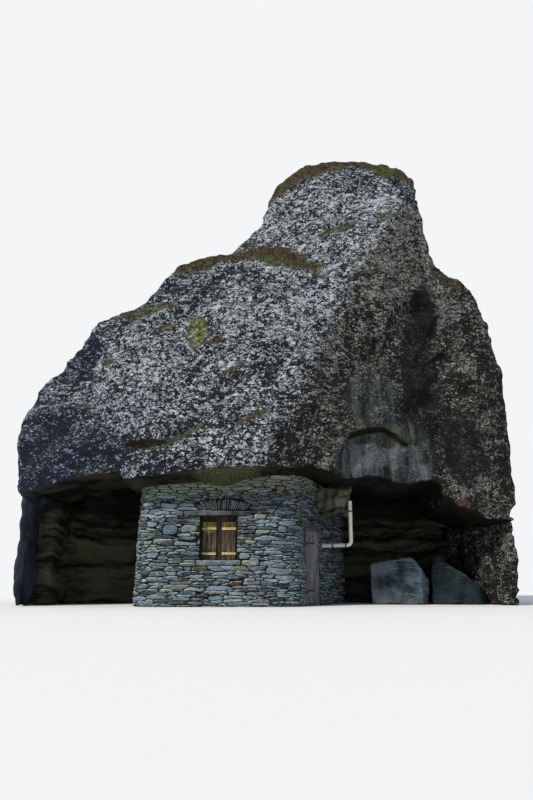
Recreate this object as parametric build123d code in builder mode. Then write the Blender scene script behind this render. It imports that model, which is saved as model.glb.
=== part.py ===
"""Stone hut walled in under the overhang of a boulder, full size, in millimetres.

The origin lies at the foot of the front wall, below the middle of the window and half way
through the wall. +X is to the right of someone facing the window, +Y runs back under the
boulder and +Z is up. Every piece stands on, or is carried by, a flat face of the next.
"""
from math import atan2, ceil, cos, degrees, radians, sin, tan
import os

from build123d import *

os.makedirs("parts", exist_ok=True)

# Hut walls
wall = 500
front = -wall / 2
room_back = 2450
wall_reach = 3200
wall_high = 3000
batter = 2
corner_radius = 600
left_corner = -1150
right_corner = 1200
flank_degrees = 25
flank_turn = radians(flank_degrees)
beyond = 4000
corner_over = 60

# Window and its stones
window_half = 380
sill_top = 900
window_head = 1800
sill_thick = 100
sill_over = 70
sill_proud = 20
lintel_thick = 105
lintel_left = -730
lintel_right = 670
lintel_proud = 70
lintel_taper = 70
fan_left = -530
fan_right = 700
fan_height = 200
fan_rise = 65
fan_lean = 100
fan_depth = 260
fan_proud = 10
fan_stones = 22
fan_joint = 7
fan_joint_depth = 45

# Window timber
frame_setback = 220
frame_deep = 70
frame_side = 55
frame_foot = 40
frame_head = 125
mullion = 150
leaf_gap = 110
shutter_half = 340
shutter_low = 920
shutter_high = 1690
shutter_thick = 30
shutter_joint = 4
batten_wide = 50
batten_thick = 16
batten_heights = (1045, 1550)
batten_over = 15

# Door in the flank wall, measured along the flank from the end of the rounded corner
door_start = 120
door_wide = 800
door_head = 1600
post_side = 55
post_deep = 110
door_gap = 8
threshold_high = 40
board_thick = 35
board_count = 3
board_joint = 4
ledge_wide = 110
ledge_thick = 25
ledge_heights = (250, 1230)
hinge_heights = (290, 1270)
hinge_radius = 9
hinge_stand = 15
hinge_tall = 36
hinge_step = 6
strap_long = 430
strap_thick = 8
plate_long = 48
door_lintel_thick = 90
door_lintel_proud = 20
door_lintel_over = 130
door_lintel_deep = 340

# Flue pipe through the flank wall behind the door
flue_along = 1130
flue_height = 1265
flue_radius = 42
flue_wall = 4
flue_run = 575
flue_bend = 95
bend_mitres = 3
flue_rise = 860
plug_radius = 75
plug_proud = 15
ring_radius = 48
ring_wide = 30
riser_ring = 620
hanger_radius = 6
hanger_along = 235
hanger_let_in = 4

# Rock hanging beside the hut, measured along and out from the flank
hang_low = 1980
hang_start = 860
hang_long = 1150
hang_out = 600
hang_bulge = 160
hang_taper = 8

# Boulder, its underside over the hut
ceiling_middle = 2530
ceiling_tilt = 5
ceiling_half = 1900
left_lip = [(-3300, 2450), (-2950, 2540), (-2500, 2600), (-1960, 2630)]
right_lip = [(2580, 2500), (3300, 2590), (3880, 2450), (4500, 2560)]
right_lip += [(4720, 2490), (4960, 2060), (5430, 1920)]
brow_left = (-1900, -420, 2364)
brow_right = (1900, -950, 2696)
brow_lip = (-1900, -1000, 2600)
brow_cut = 700

# Boulder seen from the front: x and height of its corners, from the crack up and over
crack_inner = -3600
crack_height = 2300
crack_outer = -4330
left_edge = (-4480, 3780)
left_step = (-4180, 4840)
left_notch = (-3710, 5330)
left_knob = (-3170, 6500)
left_bench = (-1990, 7100)
terrace_left = (-1210, 8330)
terrace_right = (-70, 8590)
crown_foot = (890, 9500)
crown_side = (1180, 10700)
crown_left = (1900, 11350)
crown_peak = (3100, 11560)
crown_right = (4150, 11150)
crown_fall = (4750, 10400)
step_top = (4980, 8400)
step_foot = (5080, 7950)
bench_right = (5970, 7420)
right_slope = (6310, 6210)
right_edge = (6600, 4700)
foot_edge = 6520
foot_top = 1750

# Boulder seen from the side and from above
boulder_front = -1000
boulder_back = 6300
boulder_high = 11800
boulder_span = 13000
back_corners = [(2600, 11800), (4700, 10600), (5900, 8000), (6300, 4600)]
plan_left = [(-2600, 6300), (-4300, 4200), (-4600, 350), (-3600, -350), (-2200, -1000)]
plan_right = [(5200, -1000), (6700, 1050), (6500, 4300), (4800, 6300)]

# Corners of the two great faces that meet in the ridge
left_shoulder = (-4420, 350, 3800)
brow_nose = (1190, -900, 3640)
crown_rim = (3000, 1700, 11000)
ridge_top = (4500, 1000, 10010)
right_shoulder = (6600, 1050, 4700)

# Broad swells and hollows of the front: x and height of the middle, half width, half height, and
# how far the form stands out, with a minus where it is hollow
middle_lobe = (490, 6020, 1500, 2100, 220)
left_lobe = (-1810, 4580, 1400, 1900, 180)
left_rim = (-3290, 4410, 900, 2200, -150)
crease = (-810, 6430, 700, 2200, -260)
brow_swell = (440, 3800, 1300, 900, 90)
crown_swell = (2110, 10090, 1300, 1100, 130)
notch = (2260, 6900, 700, 1000, -240)
low_shoulder = (2220, 4530, 900, 1400, 140)
high_shoulder = (3750, 7210, 1000, 1700, 140)
right_hollow = (3380, 5200, 950, 1000, -170)
gully = (4750, 5150, 800, 3200, -340)
buttress = (5950, 5540, 900, 2900, 240)
front_forms = [middle_lobe, left_lobe, left_rim, crease, brow_swell, crown_swell, notch]
front_forms += [low_shoulder, high_shoulder, right_hollow, gully, buttress]
plate_wide = 600
plate_high = 750
plates_each_way = 11

# Rock nose that hangs under the brow in front of the wall
nose_back = 230
nose_out = 650
nose_taper = 12
nose_line = [(-420, 2600), (-330, 2470), (-60, 2400), (260, 2410), (520, 2520), (700, 2700)]
nose_top = 2900

# Step in the left face above the terrace, and the arch where the right face has spalled
terrace_step = 680
terrace_plates = 7
terrace_line = [(-1400, 8200), (-70, 8480), (820, 8450), (1500, 8100), (2100, 7700)]
terrace_end = 7400
spall_depth = 190
spall_arch = [(2490, 2970), (3400, 3650), (4260, 2960)]
spall_foot = [(4420, 2300), (2250, 2300)]

# Rocks that carry the boulder
hollow_back = 3000
ledge_rear = 5900
ledge_inset = 700
ledge_turn = 2000
foot_slant = 160
left_foot = [(-4300, 420), (-4100, 240), (-3800, 330), (-3720, 1000)]
left_foot_rear = 1000
left_foot_edge = [(-4080, 0), (-4000, 1920), (-3760, 2320)]
left_outer = -4250
left_rear = (-4000, 4200)
foot_wide = 980
foot_toe = 420
foot_front = 700
foot_long = 3300
strata = 6
strata_high = 300
strata_recess = 110

# Fallen slabs in the right-hand hollow
slab_gap = 60
slab_left_wide = 1300
slab_left_crest = [(0, 850), (0.3, 960), (0.7, 940), (1, 480)]
slab_right_wide = 1230
slab_right_crest = [(0, 800), (0.14, 1060), (1, 300)]
slab_near = 1250
slab_deep = 1350
slab_skew = 220
slab_rear = 480


def wall_face(height):
    """Distance back of the leaning outer face of the front wall at a height."""
    return front + height * tan(radians(batter))


def ceiling_at(x):
    """Height of the tilted underside over the hut."""
    return ceiling_middle + x * tan(radians(ceiling_tilt))


def face_through(start, end, other):
    """Plane through three corner points of the boulder, its x axis from start to end."""
    along = Vector(*end) - Vector(*start)
    return Plane(start, x_dir=along, z_dir=along.cross(Vector(*other) - Vector(*start)))


def on_plane(plane, points):
    """Front-view points carried straight back on to a plane, in the plane's own coordinates."""
    found = []
    for x, z in points:
        sight = Axis((x, 0, z), (0, 1, 0))
        local = plane.to_local_coords(plane.intersect(sight))
        found.append((local.X, local.Y))
    return found


def sight_depth(plane, x, height):
    """How far back a plane lies at a point of the front view."""
    rise = plane.z_dir.X * (x - plane.origin.X) + plane.z_dir.Z * (height - plane.origin.Z)
    return plane.origin.Y - rise / plane.z_dir.Y


def swell(x, height):
    """How far all the broad forms of the front stand out at a point of the front view."""
    total = 0
    for middle, level, half_wide, half_high, out in front_forms:
        reach = ((x - middle) / half_wide) ** 2 + ((height - level) / half_high) ** 2
        total += out * max(0, 1 - reach) ** 2
    return total


def ridge_x(height):
    """Place of the ridge between the two great faces at a height, seen from the front."""
    ridge = left_face.intersect(right_face)
    return ridge.position.X + ridge.direction.X / ridge.direction.Z * (height - ridge.position.Z)


def at_back(point):
    """Point straight behind another one, past the back of the boulder."""
    return Vector(point.X, 2 * boulder_back, point.Z)


def rock_front(set_back):
    """Solid behind the great faces with their swells, as folded plates that meet in the ridge.

    The plates left of the ridge are set back, all but the first, and each one more than the last;
    the higher they are, the less.
    """
    grid = []
    for row in range(int(foot_top / plate_high), ceil(boulder_high / plate_high) + 1):
        height = row * plate_high
        falling = (boulder_high - height) / (boulder_high - terrace_end)
        points = []
        for column in range(-plates_each_way, plates_each_way + 1):
            x = ridge_x(height) + column * plate_wide
            great = max(sight_depth(left_face, x, height), sight_depth(right_face, x, height))
            folded = set_back * falling * max(0, -1 - column) / terrace_plates
            points.append(Vector(x, great + folded - swell(x, height), height))
        grid.append(points)
    outlines = []
    for low, high in zip(grid, grid[1:]):
        for start, end, over_start, over_end in zip(low, low[1:], high, high[1:]):
            outlines += [[start, end, over_end], [start, over_end, over_start]]
    first = [row[0] for row in grid]
    last = [row[-1] for row in grid]
    for edge in (grid[0], last, grid[-1], first):
        outlines.append([*edge, at_back(edge[-1]), at_back(edge[0])])
    outlines.append([at_back(point) for point in (first[0], last[0], last[-1], first[-1])])
    return Solid(Shell([Face(Wire.make_polygon(outline)) for outline in outlines]))


# Boulder: front view, then side and plan views cut into it, then its folded front
left_face = face_through(left_shoulder, brow_nose, crown_rim)
right_face = face_through(brow_nose, right_shoulder, ridge_top)
with BuildPart() as above_terrace:
    with BuildSketch(Plane.XZ.offset(-boulder_front)):
        with BuildLine():
            Polyline(
                *terrace_line,
                (ridge_x(terrace_end) - plate_wide, terrace_end),
                (ridge_x(boulder_high) - plate_wide, boulder_high),
                (terrace_line[0][0], boulder_high),
                close=True,
            )
        make_face()
    extrude(amount=boulder_front - boulder_back)
    add(rock_front(terrace_step), mode=Mode.SUBTRACT)
with BuildPart() as roof_boulder:
    with BuildSketch(Plane.XZ.offset(-boulder_front)):
        with BuildLine():
            Polyline(
                (crack_inner, crack_height),
                (crack_outer, crack_height),
                left_edge,
                left_step,
                left_notch,
                left_knob,
                left_bench,
                terrace_left,
                terrace_right,
                crown_foot,
                crown_side,
            )
            ThreePointArc(crown_side, crown_left, crown_peak)
            ThreePointArc(crown_peak, crown_right, crown_fall)
            Polyline(
                crown_fall,
                step_top,
                step_foot,
                bench_right,
                right_slope,
                right_edge,
                (foot_edge, foot_top),
                (foot_edge - foot_wide + foot_slant, foot_top),
                *reversed(right_lip),
                (ceiling_half, ceiling_at(ceiling_half)),
                (-ceiling_half, ceiling_at(-ceiling_half)),
                *reversed(left_lip),
                (crack_inner, crack_height),
            )
        make_face()
    extrude(amount=boulder_front - boulder_back)
    with BuildSketch(Plane.YZ.offset(-boulder_span / 2)):
        with BuildLine():
            Polyline(
                *back_corners,
                (boulder_back, 0),
                (boulder_front, 0),
                (boulder_front, boulder_high),
                close=True,
            )
        make_face()
    extrude(amount=boulder_span, mode=Mode.INTERSECT)
    with BuildSketch(Plane.XY):
        with BuildLine():
            Polyline(*plan_left, *plan_right, close=True)
        make_face()
    extrude(amount=boulder_high, mode=Mode.INTERSECT)
    add(rock_front(0), mode=Mode.INTERSECT)
    with Locations(face_through(brow_left, brow_lip, brow_right)):
        Box(
            boulder_span / 2,
            2 * ceiling_half,
            brow_cut,
            align=(Align.CENTER, Align.MIN, Align.MAX),
            mode=Mode.SUBTRACT,
        )
    add(above_terrace.part, mode=Mode.SUBTRACT)
    with BuildSketch(Plane.XZ.offset(nose_back)):
        with BuildLine():
            Polyline(*nose_line, (nose_line[-1][0], nose_top), (nose_line[0][0], nose_top), close=True)
        make_face()
    extrude(amount=nose_out, taper=nose_taper)
    with BuildSketch(right_face.offset(-spall_depth)):
        with BuildLine():
            spall_left, spall_top, spall_right = on_plane(right_face, spall_arch)
            ThreePointArc(spall_left, spall_top, spall_right)
            Polyline(spall_right, *on_plane(right_face, spall_foot), spall_left)
        make_face()
    extrude(amount=2 * spall_depth, mode=Mode.SUBTRACT)
roof_boulder.part.label = "roof_boulder"
export_step(roof_boulder.part, "parts/roof_boulder.step")


def carried_rock(outline, height):
    """Rock with a flat foot and upright sides, bedded against the underside of the boulder."""
    with BuildPart() as rock:
        with BuildSketch(Plane.XY):
            with BuildLine():
                Polyline(*outline, close=True)
            make_face()
        extrude(amount=height)
        add(roof_boulder.part, mode=Mode.SUBTRACT)
    return rock.solids().sort_by(Axis.Z)[0]


# Rocks that carry the boulder at the left, the back and the right
flank_start = (
    right_corner + corner_radius * cos(flank_turn),
    front + corner_radius - corner_radius * sin(flank_turn),
)
flank_back = flank_start[0] + (room_back - flank_start[1]) * tan(flank_turn)
side_out = left_corner - corner_radius
foot_inner = foot_edge - foot_wide

with BuildPart() as left_foot_block:
    add(carried_rock([*left_foot, (left_outer, left_foot_rear)], ceiling_middle))
    with BuildSketch(Plane.XZ):
        with BuildLine():
            Polyline(
                (-boulder_span, 0),
                *left_foot_edge,
                (-boulder_span, left_foot_edge[-1][1]),
                close=True,
            )
        make_face()
    extrude(amount=-beyond, mode=Mode.INTERSECT)
left_foot_block.part.label = "left_foot_block"
export_step(left_foot_block.part, "parts/left_foot_block.step")

# The faces at the back of both hollows show the rock's beds as steps, each set back from the next
left_ledge_face = Plane(
    (crack_inner, ledge_turn, 0), x_dir=(side_out - crack_inner, room_back - ledge_turn, 0))
with BuildPart() as back_ledge_left:
    add(carried_rock(
        [(left_outer, left_foot_rear), left_foot[-1], (crack_inner, ledge_turn), (side_out, room_back),
         (side_out, ledge_rear), (side_out - ledge_inset, ledge_rear), left_rear],
        wall_high,
    ))
    for bed in range(1, strata, 2):
        with Locations(left_ledge_face.location * Location((0, 0, bed * strata_high))):
            Box(
                side_out - crack_inner + ledge_inset,
                strata_recess * (1 + bed) / 2,
                strata_high,
                align=(Align.MIN, Align.MIN, Align.MIN),
                mode=Mode.SUBTRACT,
            )
back_ledge_left.part.label = "back_ledge_left"
export_step(back_ledge_left.part, "parts/back_ledge_left.step")

with BuildPart() as back_ledge_middle:
    add(carried_rock(
        [(side_out, room_back), (flank_back, room_back), (flank_back, ledge_rear),
         (side_out, ledge_rear)],
        wall_high,
    ))
back_ledge_middle.part.label = "back_ledge_middle"
export_step(back_ledge_middle.part, "parts/back_ledge_middle.step")

with BuildPart() as back_ledge_right:
    add(carried_rock(
        [(flank_back, hollow_back), (foot_inner, hollow_back), (foot_inner, ledge_rear - ledge_inset),
         (foot_inner - ledge_inset, ledge_rear), (flank_back, ledge_rear)],
        wall_high,
    ))
    for bed in range(1, strata, 2):
        with Locations((flank_back, hollow_back, bed * strata_high)):
            Box(
                foot_inner - flank_back,
                strata_recess * (1 + bed) / 2,
                strata_high,
                align=(Align.MIN, Align.MIN, Align.MIN),
                mode=Mode.SUBTRACT,
            )
back_ledge_right.part.label = "back_ledge_right"
export_step(back_ledge_right.part, "parts/back_ledge_right.step")

with BuildPart() as right_foot_rock:
    add(carried_rock(
        [(foot_edge - foot_toe, foot_front + 2 * foot_slant),
         (foot_edge - foot_toe / 2, foot_front),
         (foot_edge - foot_slant / 2, foot_front + 3 * foot_slant),
         (foot_edge - foot_slant / 2, foot_front + foot_long),
         (foot_inner, ledge_rear - ledge_inset),
         (foot_inner, hollow_back)],
        ceiling_middle,
    ))
right_foot_rock.part.label = "right_foot_rock"
export_step(right_foot_rock.part, "parts/right_foot_rock.step")

# Hut walls as one ring, open towards the back ledge
flank = Plane(origin=(*flank_start, 0), x_dir=(sin(flank_turn), cos(flank_turn), 0), z_dir=(0, 0, 1))

with BuildSketch() as hut_plan:
    with BuildLine():
        left_round = CenterArc((left_corner, front + corner_radius), corner_radius, 180, 90)
        right_round = CenterArc(
            (right_corner, front + corner_radius), corner_radius, -90, 90 - flank_degrees)
        Line(left_round @ 1, right_round @ 0)
        Polyline(
            right_round @ 1,
            (flank_start[0] + (wall_reach - flank_start[1]) * tan(flank_turn), wall_reach),
            (side_out, wall_reach),
            left_round @ 0,
        )
    make_face()

with BuildSketch() as room_plan:
    add(hut_plan.sketch)
    offset(amount=-wall, mode=Mode.REPLACE)

fan_low = window_head + lintel_thick
fan_high = fan_low + fan_height
fan_middle = (fan_left + fan_right) / 2
fan_drop = ((fan_right - fan_left) / 2 - fan_lean) * fan_height / fan_lean
fan_spread = 2 * degrees(atan2(fan_lean, fan_height)) * (fan_stones - 2) / fan_stones
fan_view = Plane.XZ.offset(fan_proud - wall_face(fan_high))
with BuildSketch(fan_view) as fan_outline:
    with BuildLine():
        fan_base = Polyline(
            (fan_left, fan_high),
            (fan_left + fan_lean, fan_low),
            (fan_right - fan_lean, fan_low),
            (fan_right, fan_high),
        )
        ThreePointArc(fan_base @ 0, (fan_middle, fan_high + fan_rise), fan_base @ 1)
    make_face()


def stone_box(plane, start, end):
    """Rectangular stone or pocket between two opposite corners given on a plane."""
    with BuildPart() as stone:
        with Locations(plane.location * Location(start)):
            Box(
                end[0] - start[0],
                end[1] - start[1],
                end[2] - start[2],
                align=(Align.MIN, Align.MIN, Align.MIN),
            )
    return stone.part


# Window lintel with tapered ends, and the sill that closes the wall below the opening
lintel_front = wall_face(window_head) - lintel_proud
with BuildPart() as window_lintel:
    with BuildSketch(Plane.XY.offset(window_head)):
        with BuildLine():
            Polyline(
                (lintel_left, wall / 2),
                (lintel_left, lintel_front + lintel_taper),
                (lintel_left + lintel_taper, lintel_front),
                (lintel_right - lintel_taper, lintel_front),
                (lintel_right, lintel_front + lintel_taper),
                (lintel_right, wall / 2),
                close=True,
            )
        make_face()
    extrude(amount=lintel_thick)
window_lintel.part.label = "window_lintel"
export_step(window_lintel.part, "parts/window_lintel.step")

with BuildPart() as window_sill:
    add(stone_box(
        Plane.XY,
        (-window_half - sill_over, front - sill_proud, sill_top - sill_thick),
        (window_half + sill_over, wall / 2, sill_top),
    ))
window_sill.part.label = "window_sill"
export_step(window_sill.part, "parts/window_sill.step")

# Fan of slabs on edge that takes the load off the lintel
with BuildPart() as relieving_fan:
    extrude(fan_outline.sketch, amount=-fan_depth)
    with BuildSketch(fan_view):
        with Locations((fan_middle, fan_low - fan_drop)):
            with PolarLocations(
                fan_drop + fan_height / 2,
                fan_stones - 1,
                start_angle=90 - fan_spread / 2,
                angular_range=fan_spread,
                endpoint=True,
            ):
                Rectangle(2 * fan_height, fan_joint)
    extrude(amount=-fan_joint_depth, mode=Mode.SUBTRACT)
relieving_fan.part.label = "relieving_fan"
export_step(relieving_fan.part, "parts/relieving_fan.step")

# Door lintel
with BuildPart() as door_lintel:
    add(stone_box(
        flank,
        (door_start - door_lintel_over, -door_lintel_proud, door_head),
        (door_start + door_wide + door_lintel_over, door_lintel_deep, door_head + door_lintel_thick),
    ))
door_lintel.part.label = "door_lintel"
export_step(door_lintel.part, "parts/door_lintel.step")

with BuildPart() as hut_walls:
    extrude(hut_plan.sketch, amount=wall_high, taper=batter)
    extrude(room_plan.sketch, amount=wall_high, mode=Mode.SUBTRACT)
    split(bisect_by=Plane.XZ.offset(-room_back), keep=Keep.TOP)
    add(roof_boulder.part, mode=Mode.SUBTRACT)
    add(stone_box(Plane.XY, (-window_half, -wall, sill_top), (window_half, wall, window_head)),
        mode=Mode.SUBTRACT)
    add(stone_box(flank, (door_start, -wall, 0), (door_start + door_wide, 2 * wall, door_head)),
        mode=Mode.SUBTRACT)
    add(window_lintel.part, mode=Mode.SUBTRACT)
    add(window_sill.part, mode=Mode.SUBTRACT)
    extrude(fan_outline.sketch, amount=-fan_depth, mode=Mode.SUBTRACT)
    add(door_lintel.part, mode=Mode.SUBTRACT)
    with Locations(flank.location * Location((flue_along, wall / 2, flue_height), (90, 0, 0))):
        Cylinder(plug_radius, 2 * wall, mode=Mode.SUBTRACT)


def wall_piece(plane, outline, low=0, high=wall_high):
    """Part of the wall ring inside an upright prism, with what rests on it cut away."""
    with BuildPart() as piece:
        with BuildSketch(plane.offset(low)):
            with BuildLine():
                Polyline(*outline, close=True)
            make_face()
        extrude(amount=high - low)
        add(hut_walls.part, mode=Mode.INTERSECT)
    return piece.part


def band(left, right, near, far):
    """Corners of a rectangle in plan."""
    return [(left, near), (right, near), (right, far), (left, far)]


corner_line = front + corner_radius
wall_inside = wall + corner_over

with BuildPart() as wall_left_return:
    add(wall_piece(Plane.XY, band(-beyond, left_corner + wall, corner_line, beyond)))
wall_left_return.part.label = "wall_left_return"
export_step(wall_left_return.part, "parts/wall_left_return.step")

with BuildPart() as wall_left_corner:
    add(wall_piece(Plane.XY, band(-beyond, left_corner, -beyond, corner_line)))
wall_left_corner.part.label = "wall_left_corner"
export_step(wall_left_corner.part, "parts/wall_left_corner.step")

with BuildPart() as wall_front_left:
    add(wall_piece(Plane.XY, band(left_corner, -window_half, -beyond, corner_line)))
wall_front_left.part.label = "wall_front_left"
export_step(wall_front_left.part, "parts/wall_front_left.step")

with BuildPart() as wall_under_window:
    add(wall_piece(
        Plane.XY, band(-window_half, window_half, -beyond, corner_line), high=sill_top - sill_thick))
wall_under_window.part.label = "wall_under_window"
export_step(wall_under_window.part, "parts/wall_under_window.step")

with BuildPart() as wall_over_window:
    add(wall_piece(
        Plane.XY, band(-window_half, window_half, -beyond, corner_line), low=window_head))
wall_over_window.part.label = "wall_over_window"
export_step(wall_over_window.part, "parts/wall_over_window.step")

with BuildPart() as wall_front_right:
    add(wall_piece(Plane.XY, band(window_half, right_corner, -beyond, corner_line)))
wall_front_right.part.label = "wall_front_right"
export_step(wall_front_right.part, "parts/wall_front_right.step")

corner_middle = flank.to_local_coords(Vector(right_corner, corner_line, 0))
corner_out = flank.to_local_coords(Vector(right_corner, -beyond, 0))
with BuildPart() as wall_right_corner:
    add(wall_piece(flank, [
        (corner_middle.X, corner_middle.Y),
        (corner_out.X, corner_out.Y),
        (door_start, -beyond),
        (door_start, corner_middle.Y),
    ]))
wall_right_corner.part.label = "wall_right_corner"
export_step(wall_right_corner.part, "parts/wall_right_corner.step")

with BuildPart() as wall_over_door:
    add(wall_piece(
        flank, band(door_start, door_start + door_wide, -wall, wall_inside), low=door_head))
wall_over_door.part.label = "wall_over_door"
export_step(wall_over_door.part, "parts/wall_over_door.step")

with BuildPart() as wall_behind_door:
    add(wall_piece(flank, band(door_start + door_wide, beyond, -wall, wall_inside)))
wall_behind_door.part.label = "wall_behind_door"
export_step(wall_behind_door.part, "parts/wall_behind_door.step")

# Window frame with a wide middle post, and two plank shutters with their battens
frame_front = front + frame_setback
with BuildPart() as window_frame:
    with BuildSketch(Plane.XZ.offset(-frame_front)):
        with Locations((0, (sill_top + window_head) / 2)):
            Rectangle(2 * window_half, window_head - sill_top)
        light = window_half - frame_side - mullion / 2
        with Locations(
            (-(mullion + light) / 2, sill_top + frame_foot),
            ((mullion + light) / 2, sill_top + frame_foot),
        ):
            Rectangle(
                light,
                window_head - sill_top - frame_foot - frame_head,
                align=(Align.CENTER, Align.MIN),
                mode=Mode.SUBTRACT,
            )
    extrude(amount=-frame_deep)
window_frame.part.label = "window_frame"
export_step(window_frame.part, "parts/window_frame.step")


def shutter(side):
    """Plank leaf closed over one light of the frame; side is -1 for left and 1 for right."""
    leaf_wide = shutter_half - leaf_gap / 2
    leaf_middle = side * (shutter_half + leaf_gap / 2) / 2
    with BuildPart() as leaf:
        with BuildSketch(Plane.XZ.offset(-frame_front)):
            with Locations((leaf_middle, shutter_low)):
                Rectangle(leaf_wide, shutter_high - shutter_low, align=(Align.CENTER, Align.MIN))
        extrude(amount=shutter_thick)
        with BuildSketch(Plane.XZ.offset(-frame_front + shutter_thick)):
            with Locations((leaf_middle, (shutter_low + shutter_high) / 2)):
                with GridLocations(leaf_wide / 3, 1, 2, 1):
                    Rectangle(shutter_joint, shutter_high - shutter_low)
        extrude(amount=-shutter_joint * 2, mode=Mode.SUBTRACT)
    return leaf.part


def battens(side):
    """Two battens across one shutter, a little longer than the planks at the outer edge."""
    reach = shutter_half + batten_over - leaf_gap / 2
    with BuildPart() as pair:
        with BuildSketch(Plane.XZ.offset(-frame_front + shutter_thick)):
            with Locations(*[(side * (leaf_gap / 2 + reach / 2), height) for height in batten_heights]):
                Rectangle(reach, batten_wide)
        extrude(amount=batten_thick)
    return pair.part


with BuildPart() as shutter_left:
    add(shutter(-1))
shutter_left.part.label = "shutter_left"
export_step(shutter_left.part, "parts/shutter_left.step")

with BuildPart() as shutter_right:
    add(shutter(1))
shutter_right.part.label = "shutter_right"
export_step(shutter_right.part, "parts/shutter_right.step")

with BuildPart() as battens_left:
    add(battens(-1))
battens_left.part.label = "battens_left"
export_step(battens_left.part, "parts/battens_left.step")

with BuildPart() as battens_right:
    add(battens(1))
battens_right.part.label = "battens_right"
export_step(battens_right.part, "parts/battens_right.step")

# Door frame, threshold and plank door, all upright in the leaning flank wall
door_end = door_start + door_wide
leaf_start = door_start + post_side + door_gap
leaf_end = door_end - post_side - door_gap
leaf_low = threshold_high + door_gap
leaf_high = door_head - post_side - door_gap

with BuildPart() as door_threshold:
    add(stone_box(flank, (door_start, 0, 0), (door_end, wall, threshold_high)))
door_threshold.part.label = "door_threshold"
export_step(door_threshold.part, "parts/door_threshold.step")

with BuildPart() as door_frame:
    add(stone_box(flank, (door_start, 0, threshold_high), (door_end, post_deep, door_head)))
    add(
        stone_box(
            flank,
            (door_start + post_side, -wall, 0),
            (door_end - post_side, wall, door_head - post_side),
        ),
        mode=Mode.SUBTRACT,
    )
door_frame.part.label = "door_frame"
export_step(door_frame.part, "parts/door_frame.step")

board_wide = (leaf_end - leaf_start - (board_count - 1) * board_joint) / board_count
with BuildPart() as door_boards:
    for board in range(board_count):
        board_start = leaf_start + board * (board_wide + board_joint)
        board_end = board_start + board_wide
        add(stone_box(flank, (board_start, 0, leaf_low), (board_end, board_thick, leaf_high)))
door_boards.part.label = "door_boards"
export_step(door_boards.part, "parts/door_boards.step")

with BuildPart() as door_ledges:
    for height in ledge_heights:
        add(stone_box(
            flank,
            (leaf_start + door_gap, board_thick, height),
            (leaf_end - door_gap, board_thick + ledge_thick, height + ledge_wide),
        ))
door_ledges.part.label = "door_ledges"
export_step(door_ledges.part, "parts/door_ledges.step")

# Strap hinges: the eyes turn with the door, the knuckles below them stay on the post
hinge_line = door_start + post_side + door_gap / 2


def hinge_plates(start, end, low, high):
    """Plates on the outer face beside the hinge line, each joined to its rolled eye."""
    with BuildPart() as plates:
        for height in hinge_heights:
            with BuildSketch(flank.offset(height + low)):
                with Locations((hinge_line, -hinge_stand)):
                    Circle(hinge_radius)
                with Locations((start, 0)):
                    Rectangle(end - start, strap_thick, align=(Align.MIN, Align.MAX))
            extrude(amount=high - low)
    return plates.part


with BuildPart() as door_straps:
    add(hinge_plates(hinge_line + 2, hinge_line + strap_long, 0, hinge_tall))
door_straps.part.label = "door_straps"
export_step(door_straps.part, "parts/door_straps.step")

with BuildPart() as door_pintles:
    add(hinge_plates(hinge_line - plate_long, hinge_line - 2, -hinge_tall - hinge_step, -hinge_step))
door_pintles.part.label = "door_pintles"
export_step(door_pintles.part, "parts/door_pintles.step")

# Flue pipe: out through a mortar plug, level run, bend and riser, hung from the rock above
flue_mouth = flank.from_local_coords(Vector(flue_along, 0, flue_height))
flue_view = Plane(flue_mouth, x_dir=-flank.y_dir, z_dir=-flank.x_dir)


def pipe(path, outer, inner):
    """Hollow round length swept along a path that was drawn on the flue view, mitred at its turns."""
    with BuildPart() as tube:
        add(path)
        with BuildSketch(Plane(path @ 0, z_dir=path % 0)):
            Circle(outer)
            Circle(inner, mode=Mode.SUBTRACT)
        sweep(transition=Transition.RIGHT)
    return tube.part


with BuildLine(flue_view) as level_run:
    Line((-wall, 0), (flue_run, 0))
with BuildLine(flue_view) as bend_run:
    # Mitres lie where neighbouring tangents cross, so both end lengths run on in line with the pipes
    bend_arc = CenterArc((flue_run, flue_bend), flue_bend, -90, 90, mode=Mode.PRIVATE)
    mitre_reach = flue_bend / cos(radians(90 / bend_mitres / 2))
    mitre_arc = CenterArc((flue_run, flue_bend), mitre_reach, -90, 90, mode=Mode.PRIVATE)
    mitres = [mitre_arc @ ((turn + 0.5) / bend_mitres) for turn in range(bend_mitres)]
    Polyline(bend_arc @ 0, *mitres, bend_arc @ 1)
with BuildLine(flue_view) as upright_run:
    Line((flue_run + flue_bend, flue_bend), (flue_run + flue_bend, flue_bend + flue_rise))

with BuildPart() as flue_level:
    add(pipe(level_run.line, flue_radius, flue_radius - flue_wall))
flue_level.part.label = "flue_level"
export_step(flue_level.part, "parts/flue_level.step")

with BuildPart() as flue_elbow:
    add(pipe(bend_run.line, flue_radius, flue_radius - flue_wall))
flue_elbow.part.label = "flue_elbow"
export_step(flue_elbow.part, "parts/flue_elbow.step")

with BuildPart() as flue_riser:
    add(pipe(upright_run.line, flue_radius, flue_radius - flue_wall))
flue_riser.part.label = "flue_riser"
export_step(flue_riser.part, "parts/flue_riser.step")

level_plane = Plane(flue_mouth, x_dir=(0, 0, 1), z_dir=-flank.y_dir)
with BuildPart() as flue_plug:
    with BuildSketch(level_plane.offset(-wall)):
        Circle(plug_radius)
        Circle(flue_radius, mode=Mode.SUBTRACT)
    extrude(amount=wall + plug_proud)
flue_plug.part.label = "flue_plug"
export_step(flue_plug.part, "parts/flue_plug.step")


def ring(plane):
    """Joint ring round the pipe, standing on a plane square to it."""
    with BuildPart() as band_round:
        with BuildSketch(plane):
            Circle(ring_radius)
            Circle(flue_radius, mode=Mode.SUBTRACT)
        extrude(amount=ring_wide)
    return band_round.part


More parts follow.
